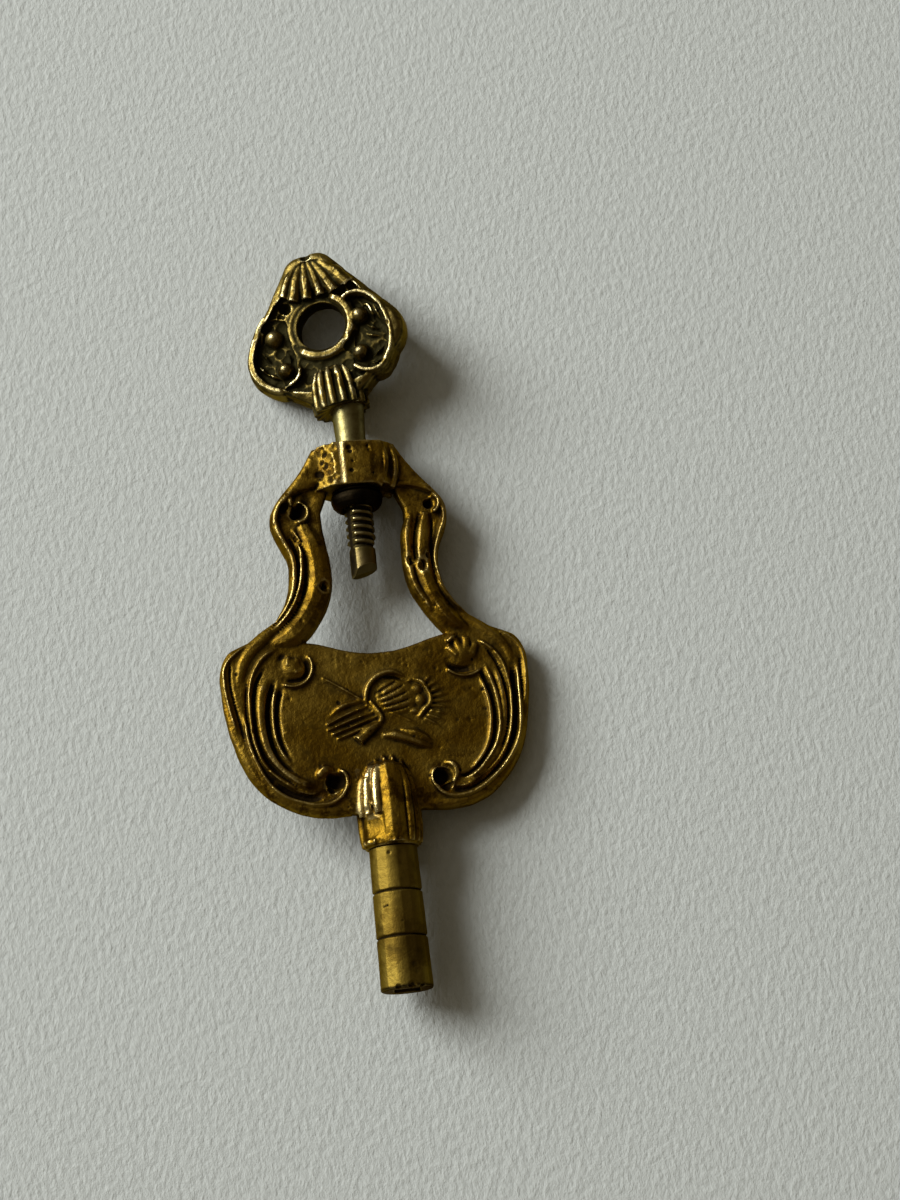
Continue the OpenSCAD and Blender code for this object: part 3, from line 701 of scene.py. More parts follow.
# ridges of the arms: width, depth, points
armRidges = [
    (2.1, 2.4, [(-4.15, 34.0), (-3.6, 32.2), (-3.4, 30.5), (-3.6, 28.9), (-4.4, 27.3), (-5.7, 25.9),
                (-7.3, 25.2)]),
    (0.52, 2.0, [(-4.97, 33.7), (-4.62, 32.69), (-4.57, 31.14), (-4.86, 29.5), (-5.77, 27.59),
                 (-7.39, 25.95)]),
    (0.70, 2.05, [(-1.9, 36.95), (-3.85, 36.83), (-4.97, 36.33), (-5.95, 35.27), (-6.2, 34.4), (-6.1, 33.8),
                  (-5.62, 32.6), (-5.2, 31.6), (-5.18, 30.1), (-5.55, 28.5), (-6.7, 26.8)]),
    (0.86, 1.95, [(3.75, 34.4), (3.36, 33.12), (3.25, 31.79), (3.27, 30.44), (3.55, 28.98), (4.3, 27.5),
                  (5.0, 26.4)]),
    (1.6, 2.3, [(4.85, 34.4), (4.45, 32.72), (4.25, 31.06), (4.4, 29.38), (4.95, 27.79), (5.75, 26.4),
                (7.2, 25.3)]),
    (0.56, 1.95, [(1.9, 36.95), (3.2, 36.7), (4.52, 36.44), (5.54, 35.81), (6.1, 34.75), (6.1, 33.84),
                  (5.66, 32.74), (5.22, 31.3), (5.2, 29.64), (5.8, 28.0), (7.0, 26.7)]),
]

# open rings at the heads of the arms: place, and the part of the ring that is there
eyelets = [{"place": (-4.5, 34.95), "ring": (-110, 100)}, {"place": (5.1, 35.1), "ring": (-75, 60)}]
eyeletLip = {"radius": 0.74, "width": 0.46, "depth": 2.05}

# short struts from the eyelets up to the rim: width, depth, size at both ends, points
armStruts = [
    (0.62, 2.0, 0.9, [(-4.9, 36.3), (-4.95, 35.9), (-4.95, 35.45)]),
    (0.4, 1.8, 0.8, [(5.5, 35.9), (5.45, 35.7), (5.3, 35.5)]),
]


def addArms(bodies):
    for width, depth, points in armRidges:
        bodies.append(drawStrand(points, width, depth, tips=(0.7, 0.5)))
    for eyelet in eyelets:
        points = arc(eyelet["place"], *eyelet["ring"], eyeletLip["radius"], None, 10)
        bodies.append(drawStrand(points, eyeletLip["width"], eyeletLip["depth"], tips=(0.6, 0.6)))
    for width, depth, tip, points in armStruts:
        bodies.append(drawStrand(points, width, depth, tips=(tip, tip)))


# leaf folds down the flanks of the boss: width, depth, height off the middle, size at both ends, points
bossFolds = [
    (0.52, 0.8, 1.58, (0.6, 0.9), [(2.0, 39.7), (2.15, 38.4), (1.95, 37.2), (1.5, 36.35)]),
    (0.56, 0.9, 1.05, (0.6, 0.8), [(2.7, 39.6), (2.9, 38.3), (2.8, 37.2), (2.5, 36.3)]),
    (0.5, 0.8, 0.62, (0.4, 0.4), [(3.1, 39.2), (3.45, 38.1), (3.45, 37.1)]),
    (0.46, 0.7, 0.62, (0.4, 0.4), [(-2.9, 39.4), (-3.3, 38.2), (-3.3, 37.1)]),
]


def addBoss(bodies):
    boss = drawBlock(bow["bossPlace"], bow["bossSize"])
    bpy.ops.object.mode_set(mode="EDIT")
    bpy.ops.mesh.select_all(action="DESELECT")
    bpy.ops.mesh.select_mode(type="EDGE")
    bpy.ops.object.mode_set(mode="OBJECT")
    for edge in boss.data.edges:
        a, b = (boss.data.vertices[i].co for i in edge.vertices)
        edge.select = abs(a.y - b.y) > 1
    bpy.ops.object.mode_set(mode="EDIT")
    bpy.ops.mesh.bevel(offset=bow["bossBevel"], segments=1, affect="EDGES")
    bpy.ops.object.mode_set(mode="OBJECT")
    bodies.append(boss)
    x, y, _ = bow["bossPlace"]
    half = bow["bossSize"][1] / 2
    bodies.append(drawStrand([(x, y - half), (x, y), (x, y + half)], *bow["bossCrown"], tips=(1, 1)))
    # folds on the front and on the back
    for side in (1, -1):
        for width, depth, height, tips, points in bossFolds:
            bodies.append(drawStrand(points, width, depth, height * side, tips))


# the fluted collar: ribs by their radii and heights and their angles from the front
collar = {
    "core": [(0, 10.0), (1.9, 10.0), (1.98, 10.4), (1.86, 12.0), (1.82, 13.0), (1.66, 14.6), (1.25, 15.5),
             (0.8, 16.0), (0, 16.2)],
    "narrowRibs": {"width": 0.6, "tips": (0.9, 0.35), "angles": (38, 57, 80, 104, 131, 150, 213, 232, 256),
                   "line": [(1.9, 10.2), (1.98, 11.0), (1.98, 13.0), (1.82, 14.6), (1.4, 15.5),
                            (0.85, 16.1)]},
    "brokenRibs": {"width": 0.68, "tips": (0.8, 0.35), "angles": (-78, -53, -30),
                   "line": [(1.95, 12.3), (2.0, 12.9), (1.95, 13.8), (1.78, 14.8), (1.4, 15.5),
                            (0.85, 16.1)]},
    "wideRibs": {"width": 1.85, "tips": (0.95, 0.5), "angles": (4, 182),
                 "line": [(1.35, 10.15), (1.38, 11.2), (1.38, 13.2), (1.24, 14.6), (0.95, 15.4),
                          (0.6, 15.9)]},
    "rim": (2.0, 10.35, -85, -25), "rimWidth": 0.42,
    # leaf tips on the plate above the collar: place and lean
    "leafTips": [(-0.95, 15.6, -0.4), (-0.5, 16.0, -0.25), (-0.05, 16.3, -0.1), (0.45, 16.3, 0.1),
                 (0.95, 15.9, 0.3)],
    "leafBar": (0.46, 2.2), "leafDown": 1.0, "leafUp": 0.5,
}


def addCollar(bodies):
    bodies.append(turnProfile(collar["core"]))
    for ribs in (collar["narrowRibs"], collar["brokenRibs"], collar["wideRibs"]):
        points, width = [(0, y, r) for r, y in ribs["line"]], ribs["width"]
        rib = drawStrand(points, width, width, tips=ribs["tips"])
        for angle in ribs["angles"]:
            bodies.append(copyTurned(rib, angle))
        throwAway(rib)
    # what is left of the rim below the broken ribs
    radius, height, first, last = collar["rim"]
    angles = [math.radians(a) for a in range(first, last, 10)]
    edge = [(radius * math.sin(a), height, radius * math.cos(a)) for a in angles]
    bodies.append(drawStrand(edge, collar["rimWidth"], collar["rimWidth"]))
    for x, y, lean in collar["leafTips"]:
        points = [(x, y - collar["leafDown"]), (x + lean / 2, y), (x + lean, y + collar["leafUp"])]
        bodies.append(drawStrand(points, *collar["leafBar"], tips=(0.95, 0.35)))


# the trophy in relief on the front of the plate: width, height over the plate, the size at both ends, points
emblem = {
    "lift": 0.52, "rayBar": (0.17, 0.46), "rayBow": 0.04, "lineRadius": 0.13, "lineDepth": 0.13,
    "strands": [
        (0.22, 0.32, (0.8, 0.8), [(-3.83, 22.5), (-2.42, 21.55), (-1.01, 20.56)]),
        (0.24, 0.26, (0.9, 0.9), [(-1.01, 20.56), (-0.47, 19.96), (-0.07, 19.37)]),
        (0.42, 0.30, (0.3, 0.6), [(-3.7, 19.6), (-2.62, 20.36), (-1.22, 20.67)]),
        (0.17, 0.30, (0.9, 0.7), [(-3.84, 19.09), (-2.32, 19.75), (-0.82, 20.25)]),
        (0.17, 0.30, (0.9, 0.7), [(-3.83, 18.67), (-2.19, 19.27), (-0.4, 19.8)]),
        (0.17, 0.30, (0.9, 0.7), [(-3.5, 18.35), (-1.95, 18.87), (-0.3, 19.42)]),
        (0.17, 0.30, (0.9, 0.7), [(-3.2, 17.98), (-1.81, 18.48), (-0.28, 19.1)]),
        (0.74, 0.56, (1.2, 0.5), [(-1.75, 17.75), (-1.35, 18.1), (-0.8, 18.54), (-0.05, 19.0)]),
        (0.42, 0.44, (0.6, 0.4), [(-0.95, 20.5), (-0.85, 21.3), (-0.4, 22.05), (0.3, 22.5), (1.1, 22.62),
                                  (1.9, 22.35)]),
        (0.40, 0.40, (0.6, 0.6), [(-0.64, 20.62), (-0.14, 19.8), (0.04, 19.29), (-0.24, 18.82)]),
        (0.72, 0.46, (0.5, 0.4), [(0.05, 18.05), (0.8, 18.0), (1.7, 17.7), (2.6, 17.3), (3.35, 17.0)]),
        (0.62, 0.40, (0.4, 0.4), [(1.4, 18.35), (2.3, 18.05), (2.95, 17.7), (3.45, 17.3)]),
        (0.34, 0.34, (0.5, 0.7), [(2.6, 22.0), (3.2, 21.75), (3.5, 21.2), (3.72, 20.6), (3.6, 20.1),
                                  (3.2, 19.75), (2.75, 19.2)]),
        (0.20, 0.20, (0.8, 0.2), [(0.9, 19.6), (2.0, 19.0), (3.0, 18.4)]),
        (0.18, 0.20, (0.6, 0.4), [(1.9, 21.75), (2.4, 21.95), (3.0, 22.2)]),
    ],
    # low lumps: a dome and three beside it, then the lines cut into the dome
    "lumps": [((1.3, 20.8, 0.48), (3.1, 2.7, 0.80)), ((2.75, 21.25, 0.55), (0.8, 0.7, 0.55)),
              ((2.95, 20.45, 0.55), (0.7, 0.8, 0.5)), ((2.5, 19.65, 0.52), (0.8, 0.5, 0.45))],
    "domeLines": [[(-0.2, 21.1), (0.7, 21.55), (1.6, 22.05)], [(-0.15, 20.75), (0.9, 21.1), (2.0, 21.65)],
                  [(0.0, 20.4), (1.0, 20.65), (2.25, 21.15)], [(0.15, 20.05), (1.2, 20.25), (2.4, 20.6)],
                  [(0.5, 19.75), (1.4, 19.85), (2.35, 20.1)], [(0.6, 22.25), (1.3, 22.2), (1.9, 21.95)]],
    "rays": [((3.55, 21.35), (4.5, 21.75)), ((3.75, 21.0), (4.85, 21.25)), ((3.85, 20.65), (5.15, 20.75)),
             ((3.85, 20.3), (5.3, 20.2)), ((3.8, 19.95), (5.15, 19.7)), ((3.65, 19.6), (4.9, 19.2)),
             ((3.45, 19.3), (4.7, 18.7)), ((3.2, 19.05), (4.3, 18.3)), ((3.35, 21.7), (4.0, 22.2))],
}


def addEmblem(bodies):
    lift = emblem["lift"]
    for width, height, tips, points in emblem["strands"]:
        bodies.append(drawStrand(points, width, 2 * height, lift, tips))
    for place, size in emblem["lumps"]:
        bodies.append(drawBead(place, size))
    for start, end in emblem["rays"]:
        middle = ((start[0] + end[0]) / 2, (start[1] + end[1]) / 2 + emblem["rayBow"])
        bodies.append(drawStrand([start, middle, end], *emblem["rayBar"], lift, (1.0, 0.3)))


# hollows and knocks of the casting: place, radius, depth
bowDents = [
    ((3.98, 14.75, 0.7), 0.68, 0.7), ((4.25, 14.15, 0.7), 0.45, 0.5),
    ((-3.66, 14.95, 0.7), 0.66, 0.7), ((-3.9, 14.5, 0.7), 0.4, 0.5),
    ((-4.5, 35.0, 0.85), 0.56, 0.95), ((-4.72, 34.8, 0.85), 0.44, 0.8), ((5.1, 35.1, 0.85), 0.46, 0.85),
    ((-5.4, 35.3, 0.8), 0.5, 0.14), ((-3.7, 35.9, 0.9), 0.6, 0.14),
    ((3.36, 30.75, 0.95), 0.38, 0.42), ((4.1, 30.35, 1.15), 0.42, 0.5), ((4.66, 31.05, 1.05), 0.26, 0.2),
    ((3.87, 27.6, 0.95), 0.22, 0.14), ((-3.1, 29.2, 1.0), 0.42, 0.45),
    ((-0.48, 39.25, 2.15), 0.24, 0.14), ((-0.42, 38.98, 2.15), 0.22, 0.12), ((0.92, 39.3, 2.15), 0.24, 0.14),
    ((0.98, 39.02, 2.15), 0.22, 0.12), ((-0.42, 37.5, 2.15), 0.20, 0.12), ((-0.3, 38.2, 2.15), 0.15, 0.07),
    ((-1.5, 11.4, 1.45), 0.75, 0.14),
    ((-6.0, 23.0, 1.1), 0.2, 0.12), ((6.4, 23.2, 1.1), 0.2, 0.12), ((6.2, 24.2, 1.1), 0.24, 0.14),
]


# rough places: limits in x and y, or the corner, step and jitter of a net, then limits of radius and depth
roughSpots = {
    "seed": 11,
    "crystals": {"count": 30, "inRow": 5, "corner": (-2.9, 36.95), "step": (0.37, 0.52),
                 "jitter": (0.14, 0.16), "facet": (-1.7, 2.05), "radius": (0.24, 0.38),
                 "depth": (0.08, 0.17)},
    "collarFoot": {"count": 22, "x": (-2.1, -0.9), "y": (10.2, 12.2), "round": (2.35, 2.2, 0.1),
                   "radius": (0.16, 0.3), "depth": (0.05, 0.12)},
    "fieldTop": {"count": 40, "x": (-4.4, 4.8), "y": (23.2, 24.2), "z": 0.58,
                 "radius": (0.1, 0.22), "depth": (0.015, 0.04)},
    "pits": {"count": 320, "radius": (0.09, 0.2), "depth": (0.02, 0.06)},
}


# the crystalline left flank of the boss, the broken collar foot, and stray pits everywhere
def roughPlaces(piece):
    chance = np.random.default_rng(roughSpots["seed"])
    draw = chance.uniform
    dents = []
    net = roughSpots["crystals"]
    (cornerX, cornerY), (stepX, stepY), (jitterX, jitterY) = net["corner"], net["step"], net["jitter"]
    facetX, facetZ = net["facet"]
    for i in range(net["count"]):
        row, column = divmod(i, net["inRow"])
        x = cornerX + stepX * column + draw(-jitterX, jitterX)
        y = cornerY + stepY * row + stepY / 2 * (i % 2) + draw(-jitterY, jitterY)
        dents.append(((x, y, facetZ + (x - facetX)), draw(*net["radius"]), draw(*net["depth"])))
    foot = roughSpots["collarFoot"]
    reach, crown, under = foot["round"]
    for i in range(foot["count"]):
        x, y = draw(*foot["x"]), draw(*foot["y"])
        z = crown * math.sqrt(1 - (x / reach) ** 2) - under
        dents.append(((x, y, z), draw(*foot["radius"]), draw(*foot["depth"])))
    field = roughSpots["fieldTop"]
    for i in range(field["count"]):
        x, y = draw(*field["x"]), draw(*field["y"])
        dents.append(((x, y, field["z"]), draw(*field["radius"]), draw(*field["depth"])))
    places = pointsOf(piece.data)
    pits = roughSpots["pits"]
    picks = chance.integers(0, len(places), pits["count"])
    return dents + strayDents(chance, places, picks, pits["radius"], pits["depth"])


# painted highlights, stronger towards the light on the left: the collar's left flutes and part of a facet of
# the boss
highlightPaint = {"strength": 0.85, "fluteReach": 2.5, "fluteHeight": 13.9, "fluteHalf": 2.0, "fluteFront": 0.4,
          "facetHeight": 38.2, "facetHalf": 1.6, "facetFront": 1.6, "facetPlace": -1.05, "facetWidth": 0.36}


def paintHighlights(piece):
    x, y, z = pointsOf(piece.data).T
    flutes = np.hypot(x, z) < highlightPaint["fluteReach"]
    flutes &= np.abs(y - highlightPaint["fluteHeight"]) < highlightPaint["fluteHalf"]
    flutes &= z > highlightPaint["fluteFront"]
    facet = (np.abs(y - highlightPaint["facetHeight"]) < highlightPaint["facetHalf"]) & (z > highlightPaint["facetFront"])
    across = ((x - highlightPaint["facetPlace"]) / highlightPaint["facetWidth"]) ** 2
    bright = flutes * np.clip(-0.2 - 1.6 * x, 0, 1) + facet * np.clip(1.1 - across, 0, 1)
    writeMark(piece, "deepHollowAndPaint", readMark(piece, "deepHollowAndPaint") - highlightPaint["strength"] * bright)


def buildBow():
    bodies = [drawPlate([bowOutline(), windowOutline()], bow["plateThick"], bow["plateEdge"]),
              drawPlate([headOutline()], bow["headThick"], bow["headEdge"])]
    addPlateScrolls(bodies)
    addArms(bodies)
    addBoss(bodies)
    addCollar(bodies)
    addEmblem(bodies)
    piece = castTogether(bodies, "lyreBow", bow["voxel"], bow["smoothing"])
    print("bow cast:", len(piece.data.polygons), "faces")
    for radius, depth, points in plateGrooves:
        pressGroove(piece, points, radius, depth)
    for points in emblem["domeLines"]:
        pressGroove(piece, points, emblem["lineRadius"], emblem["lineDepth"], backToo=False)
    pressDents(piece, bowDents)
    pressDents(piece, roughPlaces(piece))
    rippleSkin(piece, *bow["ripple"])
    cutAway(piece, drawPlug(*bow["bore"]), "MANIFOLD")
    cutAway(piece, drawPlug(*bow["tenonHole"]), "MANIFOLD")
    markHollows(piece, bow["voxel"])
    paintHighlights(piece)
    thinTo(piece, bow["triangles"])
    roll = Matrix.Rotation(math.radians(bow["roll"]), 4, "Y")
    finishPiece(piece, "lyre_bow", "bow", materials["bowBrass"], roll)


# the pipe: turned, filed a little flat by hand, with two rings and a square socket
pipe = {
    "voxel": 0.055, "smoothing": 2, "mouthRadius": 1.85, "topRadius": 1.7, "length": 10.0, "tenonRadius": 1.2,
    "tenonTop": 14.0, "rings": (3.65, 6.85), "ringWidth": 0.16, "ringDepth": 0.13, "socketWidth": 1.8,
    "socketDepth": 7.0, "flats": 7, "flatDepth": 0.035, "flatStart": 20, "ripple": (1.4, 0.03),
    # how far the mouth and the shoulder are rounded: inwards, and along
    "mouthRound": [(0.14, 0), (0.04, 0.05), (0, 0.16)], "shoulderRound": (0.05, 0.06),
    "ringTaper": (1.5, 0.6),
}

# scratches and knocks of the pipe: place, radius, depth
pipeDents = [
    ((-1.05, 5.72, 1.45), 0.1, 0.04), ((-0.93, 5.75, 1.52), 0.1, 0.045), ((-0.8, 5.78, 1.58), 0.1, 0.04),
    ((-0.3, 9.45, 1.7), 0.16, 0.05), ((0.2, 4.6, 1.75), 0.09, 0.03), ((0.75, 1.5, 1.7), 0.34, 0.05),
    ((0.9, 1.1, 1.65), 0.3, 0.06), ((0.4, 0.1, 1.8), 0.3, 0.12), ((-0.6, 0.05, 1.75), 0.24, 0.1),
    ((1.1, 0.05, 1.5), 0.2, 0.1),
]


def pipeProfile():
    foot, length = pipe["mouthRadius"], pipe["length"]
    slope = (pipe["topRadius"] - foot) / length
    profile = [(0, 0)] + [(foot - inward, y) for inward, y in pipe["mouthRound"]]
    outer, inner = pipe["ringTaper"]
    for y in pipe["rings"]:
        radius, half = foot + slope * y, pipe["ringWidth"] / 2
        profile += [(radius, y - outer * half), (radius - pipe["ringDepth"], y - inner * half),
                    (radius - pipe["ringDepth"], y + inner * half), (radius, y + outer * half)]
    inward, down = pipe["shoulderRound"]
    profile += [(pipe["topRadius"], length - down), (pipe["topRadius"] - inward, length),
                (pipe["tenonRadius"], length), (pipe["tenonRadius"], pipe["tenonTop"]), (0, pipe["tenonTop"])]
    return profile


def filePipe(piece):
    places = pointsOf(piece.data)
    slope = (pipe["topRadius"] - pipe["mouthRadius"]) / pipe["length"]
    limit = pipe["mouthRadius"] + slope * places[:, 1] - pipe["flatDepth"]
    body = places[:, 1] < pipe["length"]
    for i in range(pipe["flats"]):
        angle = math.radians(360 * i / pipe["flats"] + pipe["flatStart"])
        away = np.array((math.sin(angle), 0, math.cos(angle)), np.float32)
        proud = np.where(body, np.maximum(places @ away - limit, 0), 0)
        places -= proud[:, None] * away
    setPoints(piece, places)


def buildPipe():
    body = turnProfile(pipeProfile(), 96)
    width, depth = pipe["socketWidth"], pipe["socketDepth"]
    cutAway(body, drawBlock((0, 0, 0), (width, 2 * depth, width)))
    piece = castTogether([body], "turnedPipe", pipe["voxel"], pipe["smoothing"])
    filePipe(piece)
    pressDents(piece, pipeDents)
    rippleSkin(piece, *pipe["ripple"])
    markHollows(piece, pipe["voxel"])
    finishPiece(piece, "pipe", "bow", materials["pipeBrass"])


# the swivel stem: spigot, flared neck, journal, threaded tail with a filed flat and an oblique end
stem = {
    "voxel": 0.05, "smoothing": 2, "ripple": (1.0, 0.02),
    "flatTurn": -66, "flatReach": 0.78, "flatFoot": 29.0, "flatTop": 36.3, "flatBlock": (4.0, 2.0),
    "flatDark": 0.45,
    "profile": [(0, 29.9), (0.9, 29.9), (0.97, 30.3), (0.98, 32.0), (0.82, 32.2), (0.82, 36.4), (1.1, 36.55),
                (1.1, 40.0), (1.115, 40.8), (1.15, 41.6), (1.2, 42.4), (1.235, 42.9), (1.235, 43.22),
                (0.7, 43.22), (0.7, 45.82), (0, 45.82)],
    "threadPitch": 0.56, "threadLow": 32.35, "threadHigh": 36.5, "threadRadius": 0.93, "threadWidth": 0.34,
    "endCuts": [((-0.27, 30.5, 0.95), (0.36, -0.84, 0.40)), ((-0.8, 30.0, 0.0), (0.28, -0.96, 0.0))],
}


def buildStem():
    body = turnProfile(stem["profile"])
    turns = (stem["threadHigh"] - stem["threadLow"]) / stem["threadPitch"]
    points = []
    steps = 12  # in one turn
    for i in range(round(turns * steps) + 1):
        angle = 2 * math.pi * i / steps
        points.append((stem["threadRadius"] * math.cos(angle),
                       stem["threadLow"] + stem["threadPitch"] * i / steps,
                       stem["threadRadius"] * math.sin(angle)))
    thread = drawStrand(points, stem["threadWidth"], stem["threadWidth"], tips=(0.3, 0.9))
    piece = castTogether([thread, body], "swivelStem", stem["voxel"], stem["smoothing"])
    low, high, (wide, thick) = stem["flatFoot"], stem["flatTop"], stem["flatBlock"]
    turn, middle = math.radians(stem["flatTurn"]), stem["flatReach"] + thick / 2
    place = (middle * math.sin(turn), (low + high) / 2, middle * math.cos(turn))
    cutAway(piece, drawBlock(place, (wide, high - low, thick), (0, stem["flatTurn"], 0)), "MANIFOLD")
    for place, normal in stem["endCuts"]:
        pick(piece)
        bpy.ops.object.mode_set(mode="EDIT")
        bpy.ops.mesh.select_all(action="SELECT")
        bpy.ops.mesh.bisect(plane_co=place, plane_no=normal, use_fill=True, clear_outer=True)
        bpy.ops.object.mode_set(mode="OBJECT")
    addModifier(piece, "REMESH", mode="VOXEL", voxel_size=stem["voxel"], adaptivity=0)
    addModifier(piece, "SMOOTH", factor=0.5, iterations=1)
    rippleSkin(piece, *stem["ripple"])
    markHollows(piece, stem["voxel"])
    # darker on the flat
    places, normals = pointsOf(piece.data), normalsOf(piece.data)
    facing = normals @ np.array((math.sin(turn), 0, math.cos(turn)), np.float32)
    onFlat = (facing > 0.85) & (places[:, 1] < high)
    writeMark(piece, "deepHollowAndPaint", np.where(onFlat, stem["flatDark"], 0.0))
    finishPiece(piece, "swivel_stem", "pendant", materials["stemBrass"])


# washer and nut, turned as rings, in near-black brass: painted shade under the boss
ringPieces = {
    "washer": [(1.17, 36.23), (1.74, 36.22), (1.8, 36.28), (1.8, 36.4), (1.74, 36.45), (1.17, 36.45)],
    "nut": [(1.13, 35.14), (1.3, 35.08), (1.55, 35.16), (1.78, 35.42), (1.88, 35.72), (1.9, 36.0),
            (1.86, 36.14), (1.7, 36.165), (1.13, 36.165)],
    "voxel": 0.05, "ripple": (0.8, 0.02),
}


def buildRing(profile, name, node, body):
    ring = turnProfile(profile, 72, closed=True)
    piece = castTogether([ring], name, ringPieces["voxel"], 1)
    rippleSkin(piece, *ringPieces["ripple"])
    markHollows(piece, ringPieces["voxel"])
    finishPiece(piece, node, body, materials["shadeBlackBrass"])


